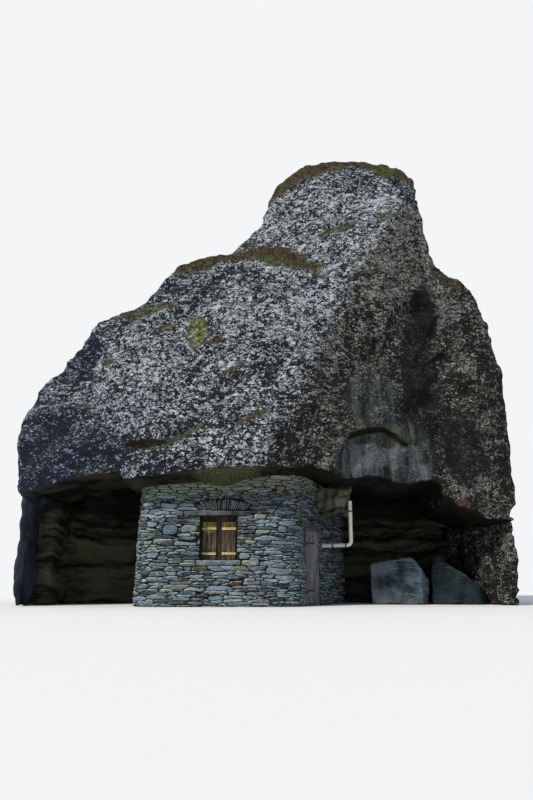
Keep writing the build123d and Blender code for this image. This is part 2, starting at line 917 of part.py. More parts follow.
riser_foot = flue_view.from_local_coords(Vector(flue_run + flue_bend, flue_bend, 0))
with BuildPart() as flue_rings:
    add(ring(level_plane.offset(hanger_along)))
    add(ring(level_plane.offset(flue_run - ring_wide)))
    add(ring(Plane(riser_foot).offset(riser_ring)))
flue_rings.part.label = "flue_rings"
export_step(flue_rings.part, "parts/flue_rings.step")

# Rock hanging beside the hut, which the pipe hanger is let into
with BuildPart() as hanging_rock:
    with BuildSketch(flank.offset(wall_high)):
        with BuildLine():
            Polyline(
                (hang_start, -hang_out),
                (hang_start + hang_long / 2, -hang_out - hang_bulge),
                (hang_start + hang_long, -hang_out + hang_bulge),
                (hang_start + hang_long, wall / 2),
                (hang_start, wall / 2),
                close=True,
            )
        make_face()
    extrude(amount=hang_low - wall_high, taper=hang_taper)
    add(roof_boulder.part, mode=Mode.SUBTRACT)
    add(hut_walls.part, mode=Mode.SUBTRACT)
hanging_rock.part.label = "hanging_rock"
export_step(hanging_rock.part, "parts/hanging_rock.step")

hanger_foot = flue_view.from_local_coords(
    Vector(hanger_along + ring_wide / 2, ring_radius - hanger_let_in, 0))
with BuildPart() as flue_hanger:
    with BuildSketch(Plane(hanger_foot)):
        Circle(hanger_radius)
    extrude(amount=hang_low - hanger_foot.Z)
    add(flue_rings.part, mode=Mode.SUBTRACT)
flue_hanger.part.label = "flue_hanger"
export_step(flue_hanger.part, "parts/flue_hanger.step")


def fallen_slab(left, wide, crest):
    """Slab of rock lying on the ground; crest gives heights at shares of its width."""
    with BuildPart() as slab:
        with BuildSketch(Plane.XY):
            with BuildLine():
                Polyline(
                    (left, slab_near + slab_skew),
                    (left + wide - slab_skew, slab_near),
                    (left + wide, slab_near + slab_skew),
                    (left + wide - slab_rear, slab_near + slab_deep),
                    (left + slab_skew, slab_near + slab_deep),
                    close=True,
                )
            make_face()
        extrude(amount=wall_high)
        with BuildSketch(Plane.XZ):
            with BuildLine():
                Polyline(
                    (left, 0),
                    *[(left + share * wide, height) for share, height in crest],
                    (left + wide, 0),
                    close=True,
                )
            make_face()
        extrude(amount=-beyond, mode=Mode.INTERSECT)
    return slab.part


slab_right_left = foot_edge - foot_toe - 3 * slab_gap - slab_right_wide
slab_left_left = slab_right_left - slab_gap - slab_left_wide

with BuildPart() as fallen_slab_left:
    add(fallen_slab(slab_left_left, slab_left_wide, slab_left_crest))
fallen_slab_left.part.label = "fallen_slab_left"
export_step(fallen_slab_left.part, "parts/fallen_slab_left.step")

with BuildPart() as fallen_slab_right:
    add(fallen_slab(slab_right_left, slab_right_wide, slab_right_crest))
fallen_slab_right.part.label = "fallen_slab_right"
export_step(fallen_slab_right.part, "parts/fallen_slab_right.step")
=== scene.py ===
"""Looks of the stone hut under its boulder: worked rock, dry-laid slabs, weathered wood and iron.

Everything is in metres in the frame of the CAD part. Sizes come from the nodes' boxes where a
node gives them, and the rest are named values below.
"""

import math
import random

import bpy
import numpy as np
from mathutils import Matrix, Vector, noise


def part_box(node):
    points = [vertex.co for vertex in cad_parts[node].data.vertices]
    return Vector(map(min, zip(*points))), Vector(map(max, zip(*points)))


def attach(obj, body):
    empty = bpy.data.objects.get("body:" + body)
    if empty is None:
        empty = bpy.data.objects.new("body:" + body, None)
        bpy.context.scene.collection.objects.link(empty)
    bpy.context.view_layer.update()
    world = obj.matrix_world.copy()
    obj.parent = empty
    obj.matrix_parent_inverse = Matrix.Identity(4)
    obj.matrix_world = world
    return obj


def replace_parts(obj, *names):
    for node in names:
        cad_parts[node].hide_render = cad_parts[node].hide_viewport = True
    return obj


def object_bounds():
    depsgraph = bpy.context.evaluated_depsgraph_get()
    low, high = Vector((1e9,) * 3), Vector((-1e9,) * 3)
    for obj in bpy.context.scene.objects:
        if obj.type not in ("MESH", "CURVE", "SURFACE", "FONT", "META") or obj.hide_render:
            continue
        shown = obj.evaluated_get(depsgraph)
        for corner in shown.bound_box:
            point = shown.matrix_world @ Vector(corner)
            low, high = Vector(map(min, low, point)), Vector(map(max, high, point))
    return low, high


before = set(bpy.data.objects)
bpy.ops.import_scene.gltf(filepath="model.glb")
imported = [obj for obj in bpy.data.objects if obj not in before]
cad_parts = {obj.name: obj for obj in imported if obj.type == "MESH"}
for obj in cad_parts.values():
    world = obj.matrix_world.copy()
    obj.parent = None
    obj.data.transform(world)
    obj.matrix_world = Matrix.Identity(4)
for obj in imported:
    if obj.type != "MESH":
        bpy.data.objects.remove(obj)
cad_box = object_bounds()
hut = "hut"
door = "door"
up = Vector((0, 0, 1))

# Wall plan, read from the nodes as far as they give it
left_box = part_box("wall_left_corner")
right_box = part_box("wall_right_corner")
window_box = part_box("window_frame")
sill_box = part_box("window_sill")
lintel_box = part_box("window_lintel")
fan_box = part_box("relieving_fan")
side_x = left_box[0].x
front_y = left_box[0].y
corner_radius = left_box[1].x - left_box[0].x
corner_left = left_box[1].x
corner_right = right_box[0].x
room_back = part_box("wall_left_return")[1].y
wall_thick = 0.5
batter = math.tan(math.radians(2))
flank_turn = math.radians(25)

# Door and flue, along the flank from the end of the rounded corner
door_start = 0.12
door_wide = 0.8
door_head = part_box("door_frame")[1].z
door_lintel_over = 0.13
door_lintel_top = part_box("door_lintel")[1].z
leaf_start = 0.183
leaf_end = 0.857
leaf_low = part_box("door_boards")[0].z
leaf_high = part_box("door_boards")[1].z
leaf_thick = 0.035
ledge_heights = (0.25, 1.23)
ledge_wide = 0.11
ledge_thick = 0.025
batten_wide = 0.05
flue_along = 1.13
flue_high = 1.265
flue_radius = 0.042
flue_run = 0.575
flue_bend = 0.095
plug_radius = 0.075

# Ceiling over the hut
ceiling_middle = 2.53
ceiling_tilt = math.tan(math.radians(5))
ceiling_flat_from = 1.9
ceiling_flat = 2.66

# Slabs: height of the courses, flatness, and how far a stone's tail goes into the wall
courses_top = 2.85
lining_top = 2.8
outer_stretch = 5.0
inner_stretch = 4.0
stone_tail = 0.09
jamb_tail = 0.20

# Edges flatter than these many degrees are smoothed
stone_edge = 38
wood_edge = 40
pipe_edge = 60

# Ridge between the pale left face and the dark right face of the boulder, as x over height
ridge_foot = -0.60
ridge_slope = 0.508

# Across the boulder: middle of its mossy crown, and where its mossy terrace turns down
crown_middle = 3.05
terrace_turn = 0.3


def ceiling_at(x):
    """Height of the boulder's underside over a point of the walls."""
    return ceiling_middle + x * ceiling_tilt if x < ceiling_flat_from else ceiling_flat


# Materials

porous_sheen = 0.1
plain_sheen = 0.5
flake_turn = (0, 0.25, 0)

# Marks on the front of the boulder, as far as they show in its colour: x, z, half width, half height,
# raggedness, soft edge, slant and share
gully_marks = (
    (4.72, 6.60, 0.34, 0.75, 2.0, 0.5, 0.0, 1.0),
    (4.50, 5.10, 0.42, 1.50, 2.6, 0.6, 0.0, 0.9),
    (4.25, 3.90, 0.30, 0.80, 2.4, 0.6, 0.0, 0.7),
    (5.35, 3.20, 0.55, 0.90, 2.6, 0.6, 0.0, 0.8),
)
spall_marks = (
    (3.45, 3.05, 1.00, 0.75, 2.2, 0.4, 0.0, 1.0),
    (3.25, 4.20, 0.55, 0.80, 2.4, 0.5, 0.0, 0.55),
    (4.15, 3.30, 0.35, 0.60, 2.4, 0.5, 0.0, 0.8),
)
spall_arch = ((3.35, 3.56, 0.85, 0.24, 1.6, 0.5, -0.1, 0.8),)
spall_lens = ((3.45, 3.05, 0.62, 0.20, 1.8, 0.5, 0.3, 0.5),)
scoop_marks = (
    (2.72, 9.00, 0.42, 0.12, 1.2, 0.3, 0.25, 1.0),
    (3.90, 9.25, 0.25, 0.16, 1.6, 0.4, 0.0, 0.8),
    (-0.75, 3.42, 0.42, 0.11, 1.0, 0.3, 0.6, 1.0),
)
# Painted shade in the crack under its overhanging lip
crack_shade_mark = ((-1.50, 3.27, 0.50, 0.08, 1.4, 0.3, 0.0, 0.9),)
rust_mark = ((5.14, 2.10, 0.20, 0.09, 3.0, 0.5, 0.0, 0.5),)
nose_mark = ((0.18, 2.62, 0.62, 0.30, 1.2, 0.4, 0.0, 0.9),)
# Painted shade on the dark facet at the boulder's left edge
left_edge_shade_mark = ((-3.50, 5.60, 0.60, 0.75, 1.6, 0.4, 0.0, 0.9),)
green_mark = ((-0.66, 6.10, 0.24, 0.42, 3.6, 0.5, 0.0, 1.0),)
tuft_marks = (
    (-1.95, 6.80, 0.75, 0.20, 2.2, 0.5, 0.2, 1.0),
    (-0.20, 5.72, 0.35, 0.07, 2.2, 0.5, 0.0, 1.0),
    (0.25, 4.95, 0.30, 0.08, 2.2, 0.5, 0.5, 1.0),
    (0.70, 3.74, 0.30, 0.10, 2.2, 0.5, 0.4, 1.0),
    (-2.75, 5.42, 0.14, 0.12, 2.2, 0.5, 0.0, 1.0),
    (5.35, 7.60, 0.40, 0.12, 2.2, 0.5, -0.6, 1.0),
    (6.50, 5.90, 0.22, 0.30, 2.2, 0.5, -1.2, 1.0),
    (-1.45, 6.25, 0.30, 0.10, 2.2, 0.5, 0.3, 1.0),
)


class Nodes:
    """Builds one material's node tree, colour over colour."""

    def __init__(self, name):
        self.material = bpy.data.materials.new(name)
        self.material.use_nodes = True
        self.tree = self.material.node_tree
        self.shader = self.tree.nodes["Principled BSDF"]
        self.place = self.add("ShaderNodeTexCoord").outputs["Object"]
        self.color = (0, 0, 0)

    def add(self, kind, inputs=(), **settings):
        """New node with its settings, and with what goes into its inputs by name or number."""
        node = self.tree.nodes.new(kind)
        for key, value in settings.items():
            setattr(node, key, value)
        for key, value in dict(inputs).items():
            self.feed(node.inputs[key], value)
        return node

    def feed(self, socket, value):
        """A number, a vector, a colour or another socket into one input."""
        if isinstance(value, (int, float)):
            socket.default_value = value
        elif isinstance(value, tuple):
            socket.default_value = value if socket.type == "VECTOR" else (*value, 1)
        else:
            self.tree.links.new(value, socket)

    def stretched(self, scale, turn=(0, 0, 0), source=None):
        """Coordinates scaled by axis, for grain, beds and streaks."""
        inputs = {"Scale": scale, "Rotation": turn, "Vector": source or self.place}
        return self.add("ShaderNodeMapping", inputs).outputs["Vector"]

    def warped(self, scale, amount):
        """Object coordinates pushed about by a noise, so that beds and streaks wander."""
        push = self.add("ShaderNodeTexNoise", {"Scale": scale, "Detail": 4, "Vector": self.place})
        inputs = {0: push.outputs["Color"], 1: (amount, amount, amount), 2: self.place}
        return self.add("ShaderNodeVectorMath", inputs, operation="MULTIPLY_ADD").outputs["Vector"]

    def noise(self, scale, detail=6, rough=0.6, where=None, distort=0.0):
        return self.add("ShaderNodeTexNoise", {
            "Scale": scale, "Detail": detail, "Roughness": rough, "Distortion": distort,
            "Vector": where or self.place}).outputs["Fac"]

    def flecks(self, scale, where):
        """Small grains, with two random values for each: its size and its tone."""
        grains = self.add("ShaderNodeTexVoronoi", {"Scale": scale, "Vector": where})
        return self.axis("X", grains.outputs["Color"]), self.axis("Y", grains.outputs["Color"])

    def tone(self):
        """The three random values that each stone or board carries."""
        return self.add("ShaderNodeAttribute", attribute_name="tone").outputs["Vector"]

    def ramp(self, value, low, high):
        """Soft step from 0 at low to 1 at high; low above high turns it round."""
        return self.add("ShaderNodeMapRange", {
            "Value": value, "From Min": min(low, high), "From Max": max(low, high),
            "To Min": float(low > high), "To Max": float(low < high),
        }, interpolation_type="SMOOTHSTEP").outputs["Result"]

    def math(self, operation, *values):
        """One operation carried through all the values."""
        result = values[0]
        for value in values[1:]:
            result = self.add("ShaderNodeMath", {0: result, 1: value}, operation=operation).outputs["Value"]
        return result

    def times(self, *values):
        return self.math("MULTIPLY", *values)

    def plus(self, *values):
        return self.math("ADD", *values)

    def most(self, *values):
        return self.math("MAXIMUM", *values)

    def centred(self, value, amount):
        """A noise turned into a push either way."""
        return self.times(self.math("SUBTRACT", value, 0.5), amount)

    def mix(self, amount, first, second):
        return self.add("ShaderNodeMix", {0: amount, 6: first, 7: second}, data_type="RGBA").outputs[2]

    def blend(self, value, low, high, first, second):
        """One colour below low, the other above high."""
        return self.mix(self.ramp(value, low, high), first, second)

    def coat(self, paint, *shares):
        """Lays a colour over the material's colour, where all the shares are high."""
        self.color = self.mix(self.times(*shares), self.color, paint)

    def axis(self, letter, source=None):
        return self.add("ShaderNodeSeparateXYZ", {0: source or self.place}).outputs[letter]

    def facing(self, letter):
        """One part of the surface normal, for what settles on ledges."""
        return self.axis(letter, self.add("ShaderNodeNewGeometry").outputs["Normal"])

    def spots(self, marks, fray):
        """Mask of patches on the front of the rock, frayed by a noise."""
        found = []
        for x, z, wide, high, ragged, edge, slant, share in marks:
            out = self.math("SUBTRACT", self.axis("X"), x)
            across = self.math("DIVIDE", out, wide)
            height = self.math("DIVIDE", self.plus(self.axis("Z"), -z, self.times(out, -slant)), high)
            reach = self.plus(
                self.times(across, across), self.times(height, height), self.centred(fray, ragged))
            found.append(self.times(self.ramp(reach, 1.0 + edge, 1.0 - edge), share))
        return self.most(*found)

    def grown(self, cover, size, fray):
        """Mask of the flecks whose size stays below the cover, with a frayed edge."""
        return self.ramp(self.plus(cover, self.times(size, -1.0), fray), -0.02, 0.04)

    def finish(self, rough, heights, metallic=0.0, sheen=porous_sheen):
        """Connects colour and roughness, and adds up (height, distance) pairs as bumps.

        sheen is the strength of the surface's own reflection, low for porous stone and wood.
        """
        inputs = {
            "Base Color": self.color, "Roughness": rough, "Metallic": metallic,
            "Specular IOR Level": sheen}
        bumps = {}
        for height, distance in heights:
            bumps.update({"Height": height, "Distance": distance, "Strength": 1.0})
            bumps["Normal"] = self.add("ShaderNodeBump", bumps).outputs["Normal"]
        if heights:
            inputs["Normal"] = bumps["Normal"]
        for key, value in inputs.items():
            self.feed(self.shader.inputs[key], value)
        return self.material


def faded(color, share):
    return tuple(share * part for part in color)


def grow_lichen(n):
    """Black rock under flecks of lichen, thinner under painted shade on the left; returns the mask of the
    lichen.
    """
    right = n.ramp(n.past_ridge, -0.25, 0.35)
    low = n.ramp(n.plus(n.height, n.centred(n.wide, 3.0)), 5.2, 3.2)
    low_left = n.times(low, n.ramp(n.across, -0.8, -3.0))
    shaded = n.times(n.most(low_left, n.spots(left_edge_shade_mark, n.patch)), n.front)
    n.color = n.mix(right, (0.012, 0.015, 0.021), (0.012, 0.012, 0.010))
    n.coat(n.mix(right, (0.050, 0.056, 0.066), (0.044, 0.043, 0.036)), n.ramp(n.grain, 0.50, 0.62))
    # Painted shade: dark blue over the rock low on the left and at the left edge
    n.coat((0.011, 0.014, 0.029), shaded, 0.7)

    cover = n.plus(
        0.33, n.times(right, -0.10), n.times(right, n.ramp(n.height, 6.0, 9.0), 0.12),
        n.times(right, n.ramp(n.height, 4.4, 3.0), -0.08), n.times(shaded, -0.20),
        n.times(right, n.centred(n.streak, 0.9)), n.centred(n.patch, 1.2),
        n.centred(n.wide, 0.6), n.centred(n.clump, 1.5))
    frayed = n.stretched((0.92, 0.92, 1.22), flake_turn, n.warped(30, 0.05))
    large, large_tone = n.flecks(13, frayed)
    small, small_tone = n.flecks(31, frayed)
    speck = n.grown(n.plus(cover, 0.03, n.times(right, 0.05)), small, n.centred(n.grain, 0.9))
    flake = n.grown(n.plus(cover, -0.10), large, n.centred(n.grain, 1.2))
    flake = n.times(flake, n.plus(1.0, n.times(shaded, -0.7), n.times(right, -0.45)))
    lichen = n.times(n.most(speck, flake), n.in_air)
    tone = n.plus(n.times(small_tone, 0.5), n.times(large_tone, 0.3), n.times(n.grain, 0.4))
    tone = n.ramp(tone, 0.25, 0.95)
    pale = n.mix(tone, (0.080, 0.089, 0.104), (0.67, 0.73, 0.78))
    pale = n.mix(n.times(right, 0.85), pale, n.mix(tone, (0.075, 0.073, 0.062), (0.36, 0.35, 0.31)))
    # Lichen in the painted shade, darker and bluer
    pale = n.mix(n.times(shaded, 0.75), pale, n.mix(tone, (0.03, 0.045, 0.08), (0.23, 0.30, 0.42)))
    n.coat(pale, lichen, 0.94)
    # Brown pockets, and painted shade in the hollows between the lichen clumps
    pocket_and_shade = n.blend(n.patch, 0.48, 0.56, (0.010, 0.009, 0.011), (0.050, 0.038, 0.017))
    n.coat(pocket_and_shade, n.ramp(n.clump, 0.43, 0.37), n.in_air, 0.88)
    return lichen


def mark_face(n):
    """Black gully, pale spall, scoops, painted shade in the crack and rust on the front; returns the mask
    of the wet.
    """
    wet = n.times(n.ramp(n.streak, 0.54, 0.60), n.ramp(n.past_ridge, 0.9, 1.9), n.in_air, 0.6)
    gully = n.times(n.spots(gully_marks, n.patch), n.ramp(n.grain, 0.66, 0.56), n.front)
    wet = n.most(wet, gully)
    n.coat((0.006, 0.006, 0.010), wet, 0.92)

    beaten = n.ramp(n.plus(n.times(n.streak, 0.55), n.times(n.grain, 0.45)), 0.43, 0.58)
    stone = n.mix(beaten, (0.014, 0.018, 0.015), (0.165, 0.200, 0.210))
    olive = n.mix(beaten, (0.045, 0.048, 0.030), (0.150, 0.155, 0.105))
    stone = n.mix(n.spots(spall_arch, n.patch), stone, olive)
    lens = n.times(n.spots(spall_lens, n.patch), n.ramp(n.grain, 0.40, 0.52))
    stone = n.mix(lens, stone, (0.26, 0.30, 0.32))
    n.coat(stone, n.spots(spall_marks, n.patch), n.ramp(n.grain, 0.64, 0.54), n.front, 0.85)

    mossy = n.blend(n.grain, 0.45, 0.6, (0.045, 0.045, 0.024), (0.14, 0.14, 0.085))
    n.coat(mossy, n.spots(scoop_marks, n.patch), n.front, 0.8)
    # Painted shade in the crack
    n.coat((0.018, 0.016, 0.010), n.spots(crack_shade_mark, n.patch), n.front)
    n.coat((0.14, 0.075, 0.045), n.spots(rust_mark, n.grain), n.front)
    return wet


def darken_underside(n):
    """Bedded schist on the ceiling darkened as painted shade, painted black over the right-hand hollow,
    mossy on the nose.
    """
    beds = n.noise(1.0, 6, 0.65, n.stretched((0.9, 0.9, 5), source=n.warped(0.9, 0.5)))
    # Dark beds of the schist, darker still as painted shade
    schist = n.blend(beds, 0.4, 0.62, (0.006, 0.006, 0.005), (0.050, 0.049, 0.030))
    # Painted shade: near black over the right-hand hollow
    schist = n.mix(n.times(n.ramp(n.across, 1.0, 2.0), 0.8), schist, (0.003, 0.003, 0.003))
    mossy = n.blend(n.grain, 0.42, 0.62, (0.045, 0.048, 0.022), (0.16, 0.17, 0.09))
    schist = n.mix(n.spots(nose_mark, n.patch), schist, mossy)
    n.coat(schist, n.ramp(n.upwards, -0.3, -0.62), 0.94)


def grow_moss(n):
    """Brown and green moss on what faces up, on the crown, on the terrace and in tufts."""
    level = n.ramp(n.plus(n.upwards, n.centred(n.patch, 0.5), n.centred(n.grain, 0.35)), 0.60, 0.82)
    ragged = n.plus(n.centred(n.patch, 1.1), n.centred(n.clump, 0.5), n.centred(n.grain, 0.9))
    out = n.math("SUBTRACT", n.across, crown_middle)
    rim = n.plus(n.height, n.times(out, out, 0.25), n.times(n.ramp(n.across, 3.5, 4.3), 0.3), ragged)
    near_top = n.ramp(n.plus(n.axis("Y"), n.centred(n.patch, 2.0)), 4.4, 3.4)
    crown = n.times(n.ramp(rim, 11.12, 11.30), n.ramp(n.height, 9.6, 10.2), near_top)
    turn = n.math("SUBTRACT", n.across, terrace_turn)
    left_of, right_of = n.math("MINIMUM", turn, 0.0), n.most(turn, 0.0)
    rim = n.plus(n.height, n.times(left_of, -0.17), n.times(right_of, right_of, 0.22), ragged)
    terrace = n.times(
        n.ramp(rim, 8.16, 8.28), n.ramp(rim, 8.95, 8.78), n.ramp(n.across, 2.5, 2.1),
        n.ramp(n.across, -2.3, -1.8), n.front)
    tufts = n.times(n.spots(tuft_marks, n.patch), n.ramp(n.grain, 0.42, 0.52), n.front)
    green = n.times(n.spots(green_mark, n.patch), n.front)
    leaves = n.times(green, n.ramp(n.grain, 0.44, 0.52))
    brown = n.blend(n.grain, 0.43, 0.60, (0.016, 0.014, 0.008), (0.125, 0.090, 0.038))
    leafy = n.blend(n.grain, 0.43, 0.60, (0.018, 0.024, 0.008), (0.105, 0.128, 0.032))
    yellow = n.blend(n.grain, 0.45, 0.6, (0.055, 0.065, 0.012), (0.25, 0.26, 0.03))
    mossy = n.mix(green, n.blend(n.patch, 0.52, 0.60, brown, leafy), yellow)
    n.coat(mossy, n.most(level, crown, terrace, tufts, leaves), 0.95)


def boulder_material():
    """Dark gneiss under pale crusts of lichen, with moss on its ledges and black streaks."""
    n = Nodes("boulder_rock")
    n.across, n.height, n.upwards = n.axis("X"), n.axis("Z"), n.facing("Z")
    n.wide = n.noise(0.35, 4, 0.5)
    n.patch = n.noise(1.7, 6, 0.6)
    n.clump = n.noise(1.0, 6, 0.66, n.stretched((5, 5, 10), flake_turn))
    n.grain = n.noise(22, 6, 0.8)
    n.streak = n.noise(1.0, 5, 0.6, n.stretched((4, 4, 0.3), source=n.warped(1.2, 0.25)))
    n.in_air = n.ramp(n.upwards, -0.5, -0.2)
    n.front = n.ramp(n.plus(n.axis("Y"), n.centred(n.patch, 2.0)), 2.4, 1.4)
    n.past_ridge = n.plus(
        n.across, n.times(n.height, -ridge_slope), -ridge_foot, n.centred(n.wide, 1.6),
        n.centred(n.patch, 0.8))
    lichen = grow_lichen(n)
    wet = mark_face(n)
    darken_underside(n)
    grow_moss(n)
    lumps = n.plus(n.times(n.clump, 0.9), n.times(n.patch, 0.5))
    fine = n.noise(75, 4, 0.7)
    heights = [(lumps, 0.12), (n.grain, 0.05), (lichen, 0.014), (fine, 0.010)]
    return n.finish(n.plus(0.93, n.times(wet, -0.3)), heights)


def ledge_material(name, dark, light, edges, top_shade_and_lichen):
    """Damp dark schist with warped greenish beds and paler broken edges.

    The last argument adds what the back ledges have: painted shade, black at the top of the hollows, and
    lichen on the open side.
    """
    n = Nodes(name)
    patch = n.noise(1.4, 7, 0.65)
    beds = n.noise(1.0, 7, 0.66, n.stretched((0.7, 0.7, 5.5), (0.12, -0.1, 0), n.warped(0.8, 0.7)))
    fine = n.noise(26, 7, 0.72)
    n.color = n.blend(beds, 0.38, 0.62, dark, light)
    n.coat((0.052, 0.066, 0.018), n.ramp(patch, 0.52, 0.66), n.ramp(n.facing("Z"), -0.3, 0.3), 0.75)
    n.coat((0.085, 0.060, 0.032), n.ramp(patch, 0.42, 0.34), 0.5)
    n.coat(edges, n.ramp(fine, 0.55, 0.68), n.ramp(beds, 0.42, 0.56), 0.6)
    if top_shade_and_lichen:
        height = n.plus(n.axis("Z"), n.centred(patch, 0.8))
        # Painted shade: black at the top of the hollows, up under the boulder
        n.coat((0.004, 0.004, 0.004), n.ramp(height, 1.75, 2.2), 0.85)
        size, tone = n.flecks(26, n.warped(30, 0.05))
        fleck = n.grown(n.plus(0.34, n.centred(patch, 1.0)), size, n.centred(fine, 0.8))
        bare = n.mix(beds, (0.012, 0.012, 0.013), (0.050, 0.050, 0.048))
        lichen = n.mix(tone, (0.07, 0.07, 0.07), (0.5, 0.51, 0.5))
        outside = n.ramp(n.plus(n.facing("Y"), n.centred(patch, 0.6)), 0.05, 0.35)
        n.coat(n.mix(fleck, bare, lichen), outside)
    return n.finish(0.9, [(beds, 0.12), (patch, 0.05), (fine, 0.02)])


def foot_material():
    """Blue-grey rock of the foot on the left, darkened as painted shade, little lichen and upright cracks.
    """
    n = Nodes("foot_rock")
    patch = n.noise(1.6, 7, 0.65)
    crack = n.noise(1.0, 6, 0.65, n.stretched((5, 5, 0.8), source=n.warped(1.0, 0.4)))
    fine = n.noise(40, 6, 0.75)
    # The rock's blue-grey, made near black as painted shade
    n.color = n.blend(crack, 0.38, 0.6, (0.006, 0.008, 0.014), (0.024, 0.030, 0.044))
    n.coat((0.085, 0.10, 0.13), n.ramp(fine, 0.58, 0.66), 0.6)
    n.coat((0.022, 0.024, 0.016), n.ramp(patch, 0.55, 0.7), 0.5)
    return n.finish(0.92, [(crack, 0.10), (patch, 0.06), (fine, 0.02)])


def slab_material(name, dark, light, edges, tilt, lichen):
    """Split slabs of schist: fine beds at a tilt, painted highlight on faces turned up, painted shade
    below, a little lichen.
    """
    n = Nodes(name)
    patch = n.noise(2.4, 7, 0.65)
    beds = n.noise(1.0, 7, 0.7, n.stretched((1.6, 1.6, 14), (0, tilt, 0), n.warped(1.5, 0.25)))
    veins = n.noise(1.0, 5, 0.6, n.stretched((2.5, 2.5, 34), (0, tilt, 0), n.warped(2.0, 0.12)))
    fine = n.noise(60, 7, 0.75)
    n.color = n.blend(n.plus(n.times(beds, 0.15), n.times(patch, 0.85)), 0.38, 0.62, dark, light)
    n.coat(edges, n.ramp(fine, 0.58, 0.66), lichen)
    n.coat(faded(dark, 0.5), n.ramp(fine, 0.42, 0.34), 0.6)
    n.coat(edges, n.ramp(veins, 0.60, 0.68), 0.5)
    n.coat(faded(dark, 0.4), n.ramp(veins, 0.40, 0.33), 0.7)
    # Painted highlight on the faces turned up
    n.coat(edges, n.ramp(n.plus(n.facing("Z"), n.centred(patch, 0.5)), 0.35, 0.75), 0.75)
    # Painted shade on the faces turned down
    n.coat(faded(dark, 0.4), n.ramp(n.facing("Z"), -0.2, -0.7), 0.7)
    return n.finish(0.88, [(beds, 0.006), (patch, 0.03), (fine, 0.005)])


def wall_material():
    """Dry-laid slabs, each in its own tone, with painted highlight and shade; the top courses carry moss,
    paler as painted light.
    """
    n = Nodes("wall_slabs")
    tone = n.tone()
    bright, hue, joint_shade = n.axis("X", tone), n.axis("Y", tone), n.axis("Z", tone)
    beds = n.noise(1.0, 6, 0.7, n.stretched((7, 7, 75), source=n.warped(6, 0.03)))
    patch = n.noise(9, 6, 0.65)
    fine = n.noise(95, 6, 0.75)
    facing = n.facing("Z")
    green = n.mix(bright, (0.014, 0.022, 0.021), (0.200, 0.255, 0.240))
    blue = n.mix(bright, (0.014, 0.023, 0.036), (0.205, 0.282, 0.355))
    olive = n.mix(bright, (0.030, 0.030, 0.020), (0.235, 0.225, 0.150))
    rusty = n.mix(bright, (0.050, 0.028, 0.022), (0.190, 0.085, 0.048))
    n.color = n.blend(hue, 0.30, 0.38, green, blue)
    n.coat(olive, n.ramp(hue, 0.85, 0.90))
    n.coat(rusty, n.ramp(hue, 0.95, 0.98))
    n.coat((0.024, 0.028, 0.026), n.ramp(beds, 0.50, 0.62), 0.7)
    n.coat((0.34, 0.38, 0.38), n.ramp(patch, 0.54, 0.64), 0.5)
    # Painted highlight on the faces turned up
    n.coat((0.49, 0.56, 0.57), n.ramp(n.plus(facing, n.centred(fine, 0.8)), 0.25, 0.70), 0.65)
    # Painted shade on the faces turned down
    n.coat((0.012, 0.015, 0.014), n.ramp(facing, -0.15, -0.6), 0.8)
    # Painted shade on the stones' sides and tails in the joints
    n.coat((0.010, 0.012, 0.010), joint_shade, 0.85)
    # Moss on the top courses, its paler tone partly painted light where the boulder's lip shades the wall
    # top
    height = n.plus(n.axis("Z"), n.centred(patch, 0.9), n.times(n.axis("X"), -0.06))
    mossy = n.blend(fine, 0.44, 0.58, (0.110, 0.130, 0.082), (0.450, 0.505, 0.370))
    n.coat(mossy, n.ramp(height, 2.10, 2.45), n.plus(1.0, n.times(joint_shade, -0.8)), 0.7)
    return n.finish(0.9, [(beds, 0.011), (patch, 0.009), (fine, 0.005)])


def hearting_shade_material():
    """The hearting seen between the slabs, painted near black as the shade in the joints."""
    n = Nodes("wall_hearting_shade")
    patch = n.noise(20, 6, 0.7)
    n.color = n.mix(patch, (0.006, 0.007, 0.005), (0.022, 0.022, 0.017))
    return n.finish(0.95, [(patch, 0.01)])


def wood_material(name, dark, light, scale, moss_from=None, bloom=0.5):
    """Weathered boards with grain along one axis, cracks, a grey bloom and moss above a height."""
    n = Nodes(name)
    where = n.stretched(scale, source=n.warped(5, 0.012))
    grain = n.noise(1.0, 7, 0.7, where, 0.3)
    crack = n.noise(2.3, 5, 0.6, where, 0.2)
    patch = n.noise(5, 5, 0.6)
    n.color = n.blend(grain, 0.42, 0.58, dark, light)
    n.coat(tuple(0.5 * part + 0.06 for part in light), n.ramp(patch, 0.48, 0.66), bloom)
    n.coat(faded(light, 0.35), n.axis("X", n.tone()), 0.5)
    n.coat((0.016, 0.012, 0.009), n.ramp(crack, 0.58, 0.64), 0.85)
    if moss_from:
        height = n.plus(n.axis("Z"), n.centred(patch, 0.5), n.centred(grain, 0.35))
        mossy = n.blend(grain, 0.40, 0.60, (0.075, 0.080, 0.018), (0.340, 0.300, 0.060))
        n.coat(mossy, n.ramp(height, moss_from, moss_from + 0.12), 0.75)
    return n.finish(0.85, [(grain, 0.004), (crack, 0.003)])


def iron_material():
    """Forged iron gone brown with rust."""
    n = Nodes("rusted_iron")
    patch = n.noise(40, 6, 0.7)
    fine = n.noise(220, 5, 0.7)
    n.color = n.blend(patch, 0.4, 0.62, (0.022, 0.018, 0.015), (0.110, 0.050, 0.022))
    return n.finish(n.plus(n.times(patch, 0.4), 0.45), [(fine, 0.002)], metallic=0.55, sheen=plain_sheen)


